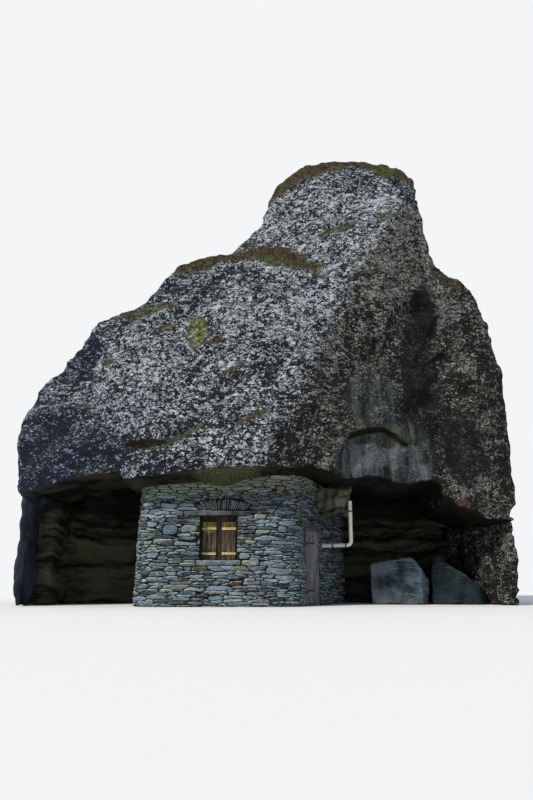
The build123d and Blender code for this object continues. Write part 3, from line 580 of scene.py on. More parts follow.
def enamel_material():
    """Dull cream enamel, chipped and streaked below its joints."""
    n = Nodes("cream_enamel")
    patch = n.noise(16, 6, 0.7)
    streak = n.noise(1.0, 5, 0.6, n.stretched((60, 60, 3)))
    n.color = n.blend(patch, 0.35, 0.7, (0.60, 0.59, 0.53), (0.76, 0.75, 0.70))
    n.coat((0.30, 0.25, 0.18), n.ramp(streak, 0.56, 0.72), 0.6)
    n.coat((0.10, 0.07, 0.05), n.ramp(patch, 0.68, 0.71))
    return n.finish(0.42, [(patch, 0.0015)], sheen=plain_sheen)


def mortar_material():
    """Rough lime mortar round the flue."""
    n = Nodes("lime_mortar")
    patch = n.noise(25, 6, 0.7)
    fine = n.noise(140, 5, 0.7)
    n.color = n.mix(patch, (0.10, 0.095, 0.08), (0.30, 0.285, 0.245))
    return n.finish(0.95, [(patch, 0.008), (fine, 0.002)])


rock_skin = boulder_material()
# Back ledges: dark schist, darkened further as painted shade of the hollow
ledge_skin = ledge_material(
    "ledge_rock", (0.008, 0.009, 0.007), (0.078, 0.084, 0.054), (0.18, 0.20, 0.15), top_shade_and_lichen=True)
hanging_skin = ledge_material(
    "hanging_stone", (0.012, 0.013, 0.009), (0.150, 0.158, 0.112), (0.32, 0.33, 0.26), top_shade_and_lichen=False)
foot_skin = foot_material()
left_slab_skin = slab_material(
    "pale_slab", (0.014, 0.022, 0.028), (0.090, 0.118, 0.140), (0.28, 0.33, 0.35),
    tilt=0.35, lichen=0.25)
right_slab_skin = slab_material(
    "dark_slab", (0.004, 0.008, 0.009), (0.015, 0.025, 0.028), (0.06, 0.09, 0.09),
    tilt=-0.6, lichen=0.2)
lintel_skin = slab_material(
    "lintel_slab", (0.022, 0.028, 0.026), (0.100, 0.118, 0.110), (0.34, 0.37, 0.35),
    tilt=0.0, lichen=0.25)
sill_skin = slab_material(
    "sill_slab", (0.050, 0.062, 0.068), (0.165, 0.200, 0.220), (0.34, 0.38, 0.38),
    tilt=0.0, lichen=0.3)
wall_skin = wall_material()
hearting_shade_skin = hearting_shade_material()
door_wood = wood_material("door_boards", (0.034, 0.035, 0.044), (0.265, 0.265, 0.300), (45, 45, 2.5))
shutter_wood = wood_material(
    "shutter_boards", (0.013, 0.010, 0.008), (0.118, 0.094, 0.064), (40, 40, 2.5),
    moss_from=1.52, bloom=0.35)
jamb_wood = wood_material("door_timber", (0.026, 0.025, 0.028), (0.150, 0.145, 0.155), (40, 40, 2.5))
frame_wood = wood_material("frame_timber", (0.011, 0.008, 0.007), (0.048, 0.032, 0.026), (40, 40, 3))
batten_wood = wood_material("pale_battens", (0.36, 0.28, 0.10), (0.68, 0.57, 0.30), (3, 40, 60), bloom=0.15)
iron_skin = iron_material()
enamel_skin = enamel_material()
mortar_skin = mortar_material()


# Meshes


def placed(name, data):
    """New object in the scene."""
    obj = bpy.data.objects.new(name, data)
    bpy.context.scene.collection.objects.link(obj)
    return obj


def tube(rings, count):
    """Faces between neighbouring rings of count points each."""
    faces = []
    for a in range(0, (rings - 1) * count, count):
        for index in range(count):
            after = (index + 1) % count
            faces.append((a + index, a + after, a + count + after, a + count + index))
    return faces


class Mesh:
    """Points, faces and a tone at each point, gathered into one piece."""

    def __init__(self):
        self.points = []
        self.faces = []
        self.tones = []

    def add(self, points, faces, tones):
        start = len(self.points)
        self.points += points
        self.faces += [tuple(start + index for index in face) for face in faces]
        self.tones += tones

    def piece(self, name, material, body, smooth_below=None):
        """Mesh object carried by one body; edges flatter than smooth_below are smoothed."""
        mesh = bpy.data.meshes.new(name)
        mesh.from_pydata([tuple(p) for p in self.points], [], self.faces)
        mesh.materials.append(material)
        layer = mesh.attributes.new("tone", "FLOAT_VECTOR", "POINT")
        layer.data.foreach_set("vector", np.array(self.tones, dtype=np.float32).ravel())
        if smooth_below:
            mesh.shade_smooth()
            mesh.set_sharp_from_angle(angle=math.radians(smooth_below))
        obj = placed(name, mesh)
        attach(obj, body)
        return obj


def evened(node, voxel, easing):
    """Mesh of a CAD node in even small faces, with its edges eased by rounds of smoothing."""
    draft = placed(node + "_draft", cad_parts[node].data.copy())
    remesh = draft.modifiers.new("even", "REMESH")
    remesh.mode = "VOXEL"
    remesh.voxel_size = voxel
    ease = draft.modifiers.new("ease", "SMOOTH")
    ease.factor = 0.5
    ease.iterations = easing
    graph = bpy.context.evaluated_depsgraph_get()
    mesh = bpy.data.meshes.new_from_object(draft.evaluated_get(graph))
    mesh.name = node + "_rock"
    bpy.data.objects.remove(draft)
    return mesh


def bedding(place, shift, depth, high):
    """Push of the ledges of a rock's beds, which wander and come and go."""
    warp = 0.5 * noise.noise(place / 1.3 + shift) + 0.1 * noise.noise(place / 0.35 - shift)
    level = (place.z + 0.12 * place.x + warp) / high
    step = level - math.floor(level)
    return depth * (step - 0.5) * (0.5 + noise.noise(place / 0.9 - shift))


def folding(place, seed, depth, wide):
    """Push of upright folds."""
    side = Vector(((place.x + 0.6 * place.y) / wide, place.z / 1.6, seed))
    return depth * (abs(noise.noise(side)) * 2 - 0.5)


def rock(node, material, voxel, easing, relief, seed,
         beds=None, folds=None, ripple=0.0, still=None, pull=None):
    """Replaces a CAD rock by a weathered one: rounded arrises, relief along the normals, beds.

    relief lists (size of the forms, depth), beds is (depth, height) of its ledges, folds is
    (depth, width) of upright folds, ripple is a fine roughness, still(point) gives the share
    of relief kept at a point and pull(point, normal) an extra move along the normal.
    """
    mesh = evened(node, voxel, easing)
    count = len(mesh.vertices)
    points = np.empty(count * 3)
    normals = np.empty(count * 3)
    mesh.vertices.foreach_get("co", points)
    mesh.vertices.foreach_get("normal", normals)
    points = points.reshape(-1, 3)
    normals = normals.reshape(-1, 3)
    shift = Vector((seed * 3.7, seed * 1.3, seed * 2.1))
    moved = np.empty(count)
    for index in range(count):
        place = Vector(points[index])
        amount = sum(depth * noise.fractal(place / size + shift, 0.9, 2.0, 3) for size, depth in relief)
        if beds:
            amount += bedding(place, shift, *beds)
        if folds:
            amount += folding(place, seed, *folds)
        if still:
            amount *= still(place)
        if pull:
            amount += pull(place, Vector(normals[index]))
        moved[index] = amount + ripple * noise.noise(place / (voxel * 2.2) + shift)
    points += normals * moved[:, None]
    points = np.clip(points, np.array(cad_box[0]), np.array(cad_box[1]))
    mesh.vertices.foreach_set("co", points.ravel())
    mesh.materials.clear()
    mesh.materials.append(material)
    mesh.update()
    mesh.shade_smooth()
    obj = placed(node + "_rock", mesh)
    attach(obj, hut)
    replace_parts(obj, node)


# Walls of dry-laid slabs

flank_foot = Vector((
    corner_right + corner_radius * math.cos(flank_turn),
    front_y + corner_radius - corner_radius * math.sin(flank_turn),
    0,
))
flank_dir = Vector((math.sin(flank_turn), math.cos(flank_turn), 0))
flank_out = Vector((math.cos(flank_turn), -math.sin(flank_turn), 0))
return_long = room_back - front_y - corner_radius
left_arc = corner_radius * math.pi / 2
front_long = corner_right - corner_left
right_arc = corner_radius * (math.pi / 2 - flank_turn)
flank_long = (room_back - flank_foot.y) / flank_dir.y
front_from = return_long + left_arc
flank_from = front_from + front_long + right_arc
run_long = flank_from + flank_long
window_at = front_from - corner_left


def on_corner(centre_x, turn):
    """Point on the foot of a rounded corner and the outward direction there."""
    out = Vector((math.cos(turn), math.sin(turn), 0))
    return Vector((centre_x, front_y + corner_radius, 0)) + out * corner_radius, out


def wall_foot(s):
    """Point on the foot of the outer face and the outward direction, s metres along the run."""
    if s < return_long:
        return Vector((side_x, room_back - s, 0)), Vector((-1, 0, 0))
    if s < front_from:
        return on_corner(corner_left, math.pi + (s - return_long) / corner_radius)
    if s < front_from + front_long:
        return Vector((corner_left + s - front_from, front_y, 0)), Vector((0, -1, 0))
    if s < flank_from:
        return on_corner(corner_right, -math.pi / 2 + (s - front_from - front_long) / corner_radius)
    return flank_foot + flank_dir * (s - flank_from), flank_out


def outer_place(s, z, proud):
    """Point on the leaning outer face, proud metres in front of it."""
    foot, out = wall_foot(s)
    return foot + out * (proud - z * batter) + up * z


def flank_place(s, z, proud):
    """Point on the upright plane of the door, s metres along the flank."""
    return flank_foot + flank_dir * s + flank_out * proud + up * z


def front_place(s, z, proud):
    """Point on the upright plane of the window frame's face."""
    return Vector((s, window_box[0].y - proud, z))


def sides(outline):
    """Neighbouring corners in pairs, all the way round."""
    return zip(outline, outline[1:] + outline[:1])


def clipped(shape, a, b, c):
    """Part of a convex outline where a*s + b*z <= c."""
    kept = []
    for (s0, z0), (s1, z1) in sides(shape):
        d0, d1 = a * s0 + b * z0 - c, a * s1 + b * z1 - c
        if d0 <= 0:
            kept.append((s0, z0))
        if (d0 < 0 < d1) or (d1 < 0 < d0):
            t = d0 / (d0 - d1)
            kept.append((s0 + t * (s1 - s0), z0 + t * (z1 - z0)))
    return kept


def half_planes(outline):
    """Edges of a convex outline, counter-clockwise, as outward (a, b, c) with a*s + b*z = c."""
    edges = []
    for (s0, z0), (s1, z1) in sides(outline):
        a, b = z1 - z0, s0 - s1
        size = math.hypot(a, b)
        edges.append((a / size, b / size, (a * s0 + b * z0) / size))
    return edges


def rectangle(left, right, low, high):
    return [(left, low), (right, low), (right, high), (left, high)]


def straight(s, z):
    """No wave: the outline stays as drawn."""
    return s, z


def worn(loop, high):
    """The outline with its corners worn off twice, by shares of the stone's height."""
    for share_of_high in (0.24, 0.12):
        cut = []
        for (s0, z0), (s1, z1) in sides(loop):
            share = min(0.25, share_of_high * high / max(0.001, math.hypot(s1 - s0, z1 - z0)))
            cut.append((s0 + share * (s1 - s0), z0 + share * (z1 - z0)))
            cut.append((s1 - share * (s1 - s0), z1 - share * (z1 - z0)))
        loop = cut
    return loop


def paced(loop, spacing, most):
    """Points at even steps round an outline, as many as the spacing asks for."""
    fewest = 12
    lengths = [math.hypot(s1 - s0, z1 - z0) for (s0, z0), (s1, z1) in sides(loop)]
    total = sum(lengths)
    count = max(fewest, min(most, round(total / spacing)))
    points = []
    edge, gone = 0, 0.0
    for index in range(count):
        want = total * index / count
        while want > gone + lengths[edge]:
            gone += lengths[edge]
            edge += 1
        (s0, z0), (s1, z1) = loop[edge], loop[(edge + 1) % len(loop)]
        t = (want - gone) / lengths[edge]
        points.append((s0 + t * (s1 - s0), z0 + t * (z1 - z0)))
    return points


def stone(mesh, chance, place, outline, proud, depth, tone,
          joint=0.009, spacing=0.034, most=34, wave=straight):
    """One split slab with worn corners, a rough front and its tail in the wall."""
    s_values = [s for s, z in outline]
    z_values = [z for s, z in outline]
    middle_s, middle_z = sum(s_values) / len(outline), sum(z_values) / len(outline)
    wide, high = max(s_values) - min(s_values), max(z_values) - min(z_values)
    if wide < 0.02 or high < 0.012:
        return
    shrink_s, shrink_z = max(0.5, 1 - joint / wide), max(0.5, 1 - joint / high)
    loop = [
        (middle_s + (s - middle_s) * shrink_s, middle_z + (z - middle_z) * shrink_z)
        for s, z in outline
    ]
    seed = Vector((chance.uniform(-90, 90), chance.uniform(-90, 90), chance.uniform(-9, 9)))
    rim = []
    for s, z in paced(worn(loop, high), spacing, most):
        s, z = wave(s, z)
        rag = noise.noise(seed + Vector((s * 26, z * 40, 0)))
        rim.append((s + 0.006 * rag, max(0.003, z + min(0.13 * high, 0.010) * rag)))
    middle_s, middle_z = wave(middle_s, middle_z)
    bulge = chance.uniform(0.002, 0.010)
    lean_s, lean_z = chance.uniform(-0.016, 0.016), chance.uniform(-0.012, 0.016)
    points, tones = [], []
    # Rings from the tail to the front: scale, distance out of the wall, painted shade of the joint
    rings = (
        (0.96, -depth, 1), (1.0, proud - 0.026, 0.9), (0.972, proud - 0.005, 0.25),
        (0.90, proud + 0.3 * bulge, 0), (0.60, proud + bulge, 0), (0.25, proud + bulge, 0),
    )
    for scale, out, joint_shade in rings:
        for s, z in rim:
            u, v = (s - middle_s) * scale, (z - middle_z) * scale
            rough = slant = 0.0
            if out != -depth:
                rough = 0.009 * noise.noise(seed + Vector((u * 20, v * 45, 5)))
                slant = lean_s * u / wide * 2 + lean_z * v / high * 2
            points.append(place(middle_s + u, middle_z + v, out + rough + slant))
            tones.append((*tone, joint_shade))
    points.append(place(middle_s, middle_z, proud + bulge))
    tones.append((*tone, 0))
    count = len(rim)
    faces = tube(len(rings), count)
    top = (len(rings) - 1) * count
    faces += [(top + index, top + (index + 1) % count, top + count) for index in range(count)]
    faces.append(tuple(range(count - 1, -1, -1)))
    mesh.add(points, faces, tones)


def rubble(chance, left, right, top, thin, thick, short, long):
    """Seeds (s, z, weight) of flat stones in wandering courses."""
    seeds = []
    z = -0.02
    course = 0
    while z < top:
        high = chance.uniform(thin, thick)
        s = left - chance.uniform(0.0, long)
        while s < right + long:
            wide = chance.triangular(short, long, short * 1.4)
            middle = s + wide / 2
            wave = 0.045 * noise.noise(Vector((middle * 1.1, z * 1.3, 7)))
            wave += 0.014 * noise.noise(Vector((middle * 4, course, 3)))
            height = z + high / 2 + wave + chance.uniform(-0.2, 0.2) * high
            seeds.append((middle, height, wide * wide / 4))
            s += wide
        z += high
        course += 1
    return seeds


def lay(seeds, stretch, left, right, top, blocked):
    """Outlines of the stones round their seeds, kept clear of the blocked outlines.

    A stone is what lies nearer to its seed than to the others, with heights counted stretch
    times, which makes it flat.
    """
    stops = [half_planes(outline) for outline in blocked]
    # Half size of an uncut outline, distance beyond which seeds don't meet, and the search columns
    reach_s, reach_z = 0.42, 0.13
    far_s, far_z = 0.9, 0.3
    column_wide = 0.5

    def outside(s, z, edges):
        """The edge that a point lies furthest beyond, and how far."""
        best = max(edges, key=lambda e: (e[0] * s + e[1] * z - e[2]) * math.hypot(e[0], e[1] * stretch))
        return best, best[0] * s + best[1] * z - best[2]

    free = [seed for seed in seeds if all(outside(seed[0], seed[1], edges)[1] > 0.004 for edges in stops)]
    columns = {}
    for seed in free:
        columns.setdefault(math.floor(seed[0] / column_wide), []).append(seed)
    found = []
    for s, z, weight in free:
        if not left < s < right:
            continue
        shape = rectangle(s - reach_s, s + reach_s, z - reach_z, z + reach_z)
        column = math.floor(s / column_wide)
        near = [other for step in (-2, -1, 0, 1, 2) for other in columns.get(column + step, ())]
        for s1, z1, weight1 in near:
            ds, dz = s1 - s, z1 - z
            if (ds or dz) and abs(dz) < far_z and abs(ds) < far_s:
                bz = dz * stretch * stretch
                level = s1 * s1 - s * s + (z1 * z1 - z * z) * stretch * stretch - weight1 + weight
                shape = clipped(shape, ds, bz, level / 2)
                if len(shape) < 3:
                    break
        for edges in stops:
            if len(shape) < 3:
                break
            a, b, c = outside(s, z, edges)[0]
            if any(a * p + b * q < c for p, q in shape) and all(
                    min(e[0] * p + e[1] * q - e[2] for p, q in shape) < 0 for e in edges):
                shape = clipped(shape, -a, -b, -c)
        if len(shape) < 3:
            continue
        shape = clipped(clipped(shape, -1, 0, -left), 1, 0, right)
        shape = clipped(clipped(shape, 0, -1, -0.004), 0, 1, top(s))
        if len(shape) > 2:
            found.append((s, z, shape))
    return found


fan_middle = window_at + (fan_box[0].x + fan_box[1].x) / 2


def fan_outline():
    """Outline of the fan of slabs on edge over the lintel, counter-clockwise."""
    base, high = fan_box[0].z, fan_box[1].z
    low, shoulder = base + 0.13, high - 0.02
    return [
        (fan_middle - 0.49, base), (fan_middle + 0.49, base), (fan_middle + 0.60, low),
        (fan_middle + 0.34, shoulder), (fan_middle, high), (fan_middle - 0.34, shoulder),
        (fan_middle - 0.60, low),
    ]


def run_at(x):
    """Distance along the run of a place seen from the front."""
    if x < corner_left:
        return front_from - corner_radius * math.asin((corner_left - x) / corner_radius)
    if x > corner_right:
        return front_from + front_long + corner_radius * math.asin((x - corner_right) / corner_radius)
    return front_from + x - corner_left


# Stones that stand out in the photo: left, right, low, high, brightness and hue
marked_stones = [
    (-1.17, -0.81, 1.41, 1.63, 0.42, 0.6),
    (-0.80, -0.42, 1.46, 1.61, 0.6, 0.2),
    (-0.92, -0.43, 1.19, 1.28, 0.75, 0.6),
    (-0.82, -0.43, 1.30, 1.39, 0.5, 0.88),
    (0.39, 0.67, 0.92, 1.05, 0.8, 0.2),
    (0.46, 0.85, 0.80, 0.91, 0.6, 0.88),
    (0.70, 1.00, 1.75, 1.85, 1.1, 0.88),
    (0.72, 1.07, 1.43, 1.52, 0.75, 0.3),
    (1.19, 1.42, 1.46, 1.61, 0.6, 0.6),
    (-1.52, -1.24, 1.59, 1.73, 0.7, 0.5),
    (-1.57, -1.36, 1.21, 1.30, 0.7, 0.88),
    (-1.57, -1.37, 0.81, 0.90, 1.0, 0.2),
    (-1.57, -1.41, 0.46, 0.56, 1.1, 0.6),
    (0.95, 1.52, 0.62, 0.78, 0.6, 0.6),
    (0.21, 0.52, 0.41, 0.50, 0.1, 1.0),
    (-1.49, -1.18, 0.94, 1.05, 0.6, 0.6),
    (-0.44, -0.18, 0.16, 0.24, 0.1, 1.0),
    (-1.23, -0.84, 1.95, 2.08, 0.8, 0.6),
    (1.14, 1.40, 2.30, 2.42, 0.9, 1.0),
]


def build_outer_walls():
    """Outer face of the whole run, one mesh for each stretch."""
    half = (window_box[1].x - window_box[0].x) / 2 - 0.004
    door_left, door_right = flank_from + door_start, flank_from + door_start + door_wide
    flue_s = flank_from + flue_along
    around = [turn * math.pi / 4 for turn in range(8)]
    blocked = [
        rectangle(window_at - half, window_at + half, sill_box[1].z - 0.01, lintel_box[0].z + 0.01),
        rectangle(
            window_at + lintel_box[0].x, window_at + lintel_box[1].x, lintel_box[0].z + 0.012,
            lintel_box[1].z),
        rectangle(window_at + sill_box[0].x, window_at + sill_box[1].x, sill_box[0].z, sill_box[1].z),
        fan_outline(),
        rectangle(door_left, door_right, -0.1, door_head),
        rectangle(
            door_left - door_lintel_over, door_right + door_lintel_over, door_head, door_lintel_top),
        [(flue_s + plug_radius * math.cos(a), flue_high + plug_radius * math.sin(a)) for a in around],
    ]
    fixed = [half_planes(outline) for outline in blocked]
    chance = random.Random(11)
    marked = []
    for left, right, low, high, bright, hue in marked_stones:
        s0, s1 = run_at(left), run_at(right)
        slope = chance.uniform(0, 0.4 * (high - low))
        outline = [
            (s0 + chance.uniform(0, 0.03), low), (s1 - chance.uniform(0.01, 0.06), low + 0.2 * slope),
            (s1, high - slope), (s0 + chance.uniform(0.01, 0.05), high),
        ]
        marked.append((outline, (bright, hue)))
    blocked += [outline for outline, tone in marked]
    seeds = rubble(chance, 0, run_long, courses_top, thin=0.036, thick=0.088, short=0.13, long=0.56)

    def top(s):
        return ceiling_at(wall_foot(s)[0].x) + 0.03

    def wave(s, z):
        """The wandering of the courses, which dies out at openings and dressed stones."""
        clear = min(max(a * s + b * z - c for a, b, c in edges) for edges in fixed)
        share = min(1.0, max(0.0, clear / 0.12))
        lift = 0.034 * noise.noise(Vector((s * 2.3, z * 4.5, 1)))
        lift += 0.011 * noise.noise(Vector((s * 9, z * 16, 2)))
        return s + share * 0.02 * noise.noise(Vector((s * 4, z * 9, 3))), z + share * lift

    def at_jamb(shape):
        """Whether a stone ends at the side of the window, where its tail shows."""
        return any(
            abs(abs(s - window_at) - half) < 0.012 and sill_box[1].z - 0.02 < z < lintel_box[0].z + 0.02
            for s, z in shape)

    stretches = [
        ("stones_left_return", 0, return_long),
        ("stones_left_corner", return_long, front_from),
        ("stones_front_left", front_from, window_at),
        ("stones_front_right", window_at, front_from + front_long),
        ("stones_right_corner", front_from + front_long, flank_from + door_start),
        ("stones_flank", flank_from + door_start, run_long + 1),
    ]
    laid = lay(seeds, outer_stretch, 0, run_long, top, blocked)
    for name, left, right in stretches:
        mesh = Mesh()
        for s, z, shape in laid:
            if not left <= s < right:
                continue
            depth = jamb_tail if at_jamb(shape) else stone_tail
            proud = chance.triangular(0.008, 0.052, 0.026)
            tone = (chance.betavariate(1.2, 1.7), 0.92 * chance.random())
            stone(mesh, chance, outer_place, shape, proud, depth, tone, wave=wave)
        for outline, tone in marked:
            if left <= outline[0][0] < right:
                proud = chance.uniform(0.028, 0.05)
                stone(mesh, chance, outer_place, outline, proud, stone_tail, tone, most=40, wave=wave)
        mesh.piece(name, wall_skin, hut, stone_edge)


def build_fan():
    """Slabs on edge, leaning outwards to both sides of the lintel's middle."""
    chance = random.Random(31)
    mesh = Mesh()
    count = 23
    base = fan_box[0].z
    for index in range(count):
        u = 2 * (index + 0.5) / count - 1
        lean = 0.70 * u + chance.uniform(-0.06, 0.06)
        high = (fan_box[1].z - base) * (1.0 - 0.45 * u * u) * chance.uniform(0.80, 1.03)
        foot = fan_middle + 0.47 * u
        head = foot + high * math.tan(lean)
        thin = 0.0175 * chance.uniform(0.8, 1.15)
        thick = 0.0235 * chance.uniform(0.8, 1.1)
        outline = [
            (foot - thin, base), (foot + thin, base),
            (head + thick, base + high), (head - thick, base + high * 0.98),
        ]
        tone = (chance.betavariate(2.4, 1.9), chance.uniform(0, 0.6))
        proud = chance.uniform(0.026, 0.05)
        stone(mesh, chance, outer_place, outline, proud, 0.05, tone, joint=0.006, spacing=0.03, most=20)
    mesh.piece("stones_fan", wall_skin, hut, stone_edge)


def build_inner_walls():
    """Simpler slabs on the straight inner faces of the room."""
    chance = random.Random(51)
    inner_x = side_x + wall_thick
    inner_y = front_y + wall_thick
    flank_in = flank_foot - flank_out * wall_thick
    along = (inner_y - flank_in.y) / flank_dir.y
    flank_start = flank_in + flank_dir * along
    front_wide = flank_start.x - inner_x
    flank_run = (room_back - inner_y) / flank_dir.y

    def front_face(s, z, proud):
        return Vector((flank_start.x - s, inner_y + proud, z))

    def left_face(s, z, proud):
        return Vector((inner_x + proud, inner_y + s, z))

    def flank_face(s, z, proud):
        return flank_start + flank_dir * (flank_run - s) - flank_out * proud + up * z

    half = (window_box[1].x - window_box[0].x) / 2
    window = rectangle(flank_start.x - half, flank_start.x + half, sill_box[1].z, lintel_box[0].z)
    jamb = flank_run + along - door_start
    doorway = rectangle(jamb - door_wide, jamb, -0.1, door_head)
    cases = [
        ("lining_front", front_face, front_wide, [window]),
        ("lining_left", left_face, room_back - inner_y, []),
        ("lining_flank", flank_face, flank_run, [doorway]),
    ]
    for name, place, long, blocked in cases:
        mesh = Mesh()
        seeds = rubble(chance, 0, long, lining_top, thin=0.07, thick=0.12, short=0.2, long=0.6)

        def top(s, place=place):
            return ceiling_at(place(s, 0, 0).x) + 0.02

        for s, z, shape in lay(seeds, inner_stretch, 0, long, top, blocked):
            tone = (chance.betavariate(1.9, 2.4), 0.9 * chance.random())
            stone(mesh, chance, place, shape, chance.uniform(0.008, 0.024), 0.05, tone, most=12)
        mesh.piece(name, wall_skin, hut, stone_edge)


build_outer_walls()
build_fan()
build_inner_walls()

# Boards and bars


def bar(mesh, chance, place, across, along, depth, upright=True, wander=0.002):
    """Weathered bar: a chamfered section carried along its length with a small wander."""
    (a0, a1), (l0, l1), (d0, d1) = across, along, depth
    chamfer = 0.004
    steps = 4
    section = [(a0 + chamfer + (a1 - a0 - 2 * chamfer) * k / steps, d1) for k in range(steps + 1)]
    section += [(a1, d1 - chamfer), (a1, d0 + chamfer), (a1 - chamfer, d0)]
    section += [(a0 + chamfer, d0), (a0, d0 + chamfer), (a0, d1 - chamfer)]
    rows = max(3, round((l1 - l0) / 0.05) + 1)
    seed = Vector((chance.uniform(-90, 90), chance.uniform(-90, 90), 0))
    tone = (chance.random(), chance.random(), 0)
    ragged = 1.5 * wander
    inwards = {0: ragged, rows - 1: -ragged}
    points = []
    size = len(section)
    for row in range(rows):
        at = l0 + (l1 - l0) * row / (rows - 1)
        for index, (a, d) in enumerate(section):
            push = wander * noise.noise(seed + Vector((a * 30, at * 6, 1)))
            shift = wander * noise.noise(seed + Vector((3, at * 4, 2)))
            trim = 0.0
            if row in inwards:
                trim = inwards[row] + ragged * noise.noise(seed + Vector((a * 60, row, 4)))
            pair = (a + shift, at + trim)
            s, z = pair if upright else pair[::-1]
            points.append(place(s, z, d + push if index <= steps else d))
    faces = tube(rows, size)
    faces.append(tuple(range(size - 1, -1, -1)))
    faces.append(tuple((rows - 1) * size + k for k in range(size)))
    mesh.add(points, faces if upright else [face[::-1] for face in faces], [tone] * len(points))


def boarded(name, node, skin, body, slot, place, chance, bars, depth, **looks):
    """Piece of parallel bars that replaces a CAD node; bars lists (across, along) of each."""
    mesh = Mesh()
    for across, along in bars:
        bar(mesh, chance, place, across, along, depth, **looks)
    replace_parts(mesh.piece(name, skin, body, wood_edge), node)


def build_timber():
    """Shutter planks and battens, door planks and ledges."""
    chance = random.Random(71)
    for name in ("shutter_left", "shutter_right"):
        low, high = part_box(name)
        wide = (high.x - low.x) / 3
        lefts = [low.x + k * wide for k in range(3)]
        bars = [((left + 0.002, left + wide - 0.002), (low.z, high.z)) for left in lefts]
        boarded(name + "_planks", name, shutter_wood, hut, "plank_wood", front_place, chance, bars,
                (0.001, high.y - low.y))
    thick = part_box("shutter_left")[1].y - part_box("shutter_left")[0].y
    for name in ("battens_left", "battens_right"):
        low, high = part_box(name)
        bars = [((z, z + batten_wide), (low.x, high.x)) for z in (low.z, high.z - batten_wide)]
        boarded(name + "_bars", name, batten_wood, hut, "batten_wood", front_place, chance, bars,
                (thick + 0.001, thick + high.y - low.y), upright=False)
    joint = 0.004
    wide = (leaf_end - leaf_start - 2 * joint) / 3
    lefts = [leaf_start + k * (wide + joint) for k in range(3)]
    boarded("door_planks", "door_boards", door_wood, door, "plank_wood", flank_place, chance,
            [((left, left + wide), (leaf_low, leaf_high)) for left in lefts], (-leaf_thick, 0),
            wander=0.0015)
    boarded("door_ledge_bars", "door_ledges", door_wood, door, "batten_wood", flank_place, chance,
            [((z, z + ledge_wide), (leaf_start + 0.008, leaf_end - 0.008)) for z in ledge_heights],
            (-leaf_thick - ledge_thick, -leaf_thick - 0.001), upright=False)


def build_elbow():
    """Smooth bend of the flue between its level run and its riser."""
    mesh = Mesh()
    turns, round_count = 14, 32
    points, faces = [], []
    for turn in range(turns + 1):
        angle = math.pi / 2 * turn / turns
        rise, run = flue_bend * (1 - math.cos(angle)), flue_bend * math.sin(angle)
        middle = flank_place(flue_along, flue_high + rise, flue_run + run)
        outward = flank_out * math.sin(angle) - up * math.cos(angle)
        for side in range(round_count):
            around = 2 * math.pi * side / round_count
            spoke = outward * math.cos(around) + flank_dir * math.sin(around)
            points.append(middle + spoke * flue_radius)
    for a in range(0, turns * round_count, round_count):
        for side in range(round_count):
            after = (side + 1) % round_count
            faces.append((a + side, a + round_count + side, a + round_count + after, a + after))
    faces.append(tuple(range(round_count)))
    faces.append(tuple(turns * round_count + side for side in range(round_count - 1, -1, -1)))
    mesh.add(points, faces, [(0, 0, 0)] * len(points))
    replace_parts(mesh.piece("flue_bend", enamel_skin, hut, pipe_edge), "flue_elbow")


build_timber()
build_elbow()

# Rocks


def keep_walls(place):
    """Little relief where the hut's walls meet the underside."""
    over_hut = -2.0 < place.x < 2.9 and -0.5 < place.y < 3.2
    underside_top, relief_kept = 2.95, 0.3
    return relief_kept if over_hut and place.z < underside_top else 1.0


# Blunt end of the right-hand lower lip: x, z, half width, half height and depth
lip_end = (6.54, 1.90, 0.30, 0.24, 0.13)

# Forms sunk into the boulder's front: x, z, half width, half height, slant and depth
sunken_forms = (
    (2.72, 9.06, 0.44, 0.18, 0.25, 0.13), (3.9, 9.28, 0.28, 0.2, 0.0, 0.08),
    (-1.5, 3.25, 0.50, 0.12, 0.0, 0.16), (-0.78, 3.46, 0.48, 0.14, 0.6, 0.15),
)


def boulder_forms(place, normal):
    """Scoops on the tower, a broken ledge low on the left and a blunt end of the lip on the right."""
    x, z, wide, high, depth = lip_end
    amount = -depth * max(0.0, 1 - ((place.x - x) / wide) ** 2 - ((place.z - z) / high) ** 2)
    if normal.y > -0.2:
        return amount
    for x, z, wide, high, slant, depth in sunken_forms:
        out = place.x - x
        near = (out / wide) ** 2 + ((place.z - z - slant * out) / high) ** 2
        amount -= depth * max(0.0, 1 - near)
    return amount


def tapered(place, normal):
    """The lintel thins towards its ends, more on the left."""
    middle = (lintel_box[0].x + lintel_box[1].x) / 2
    out = (place.x - middle) / (lintel_box[1].x - middle)
    return -abs(normal.z) * (0.030 if out < 0 else 0.022) * max(0.0, abs(out) - 0.45) / 0.55


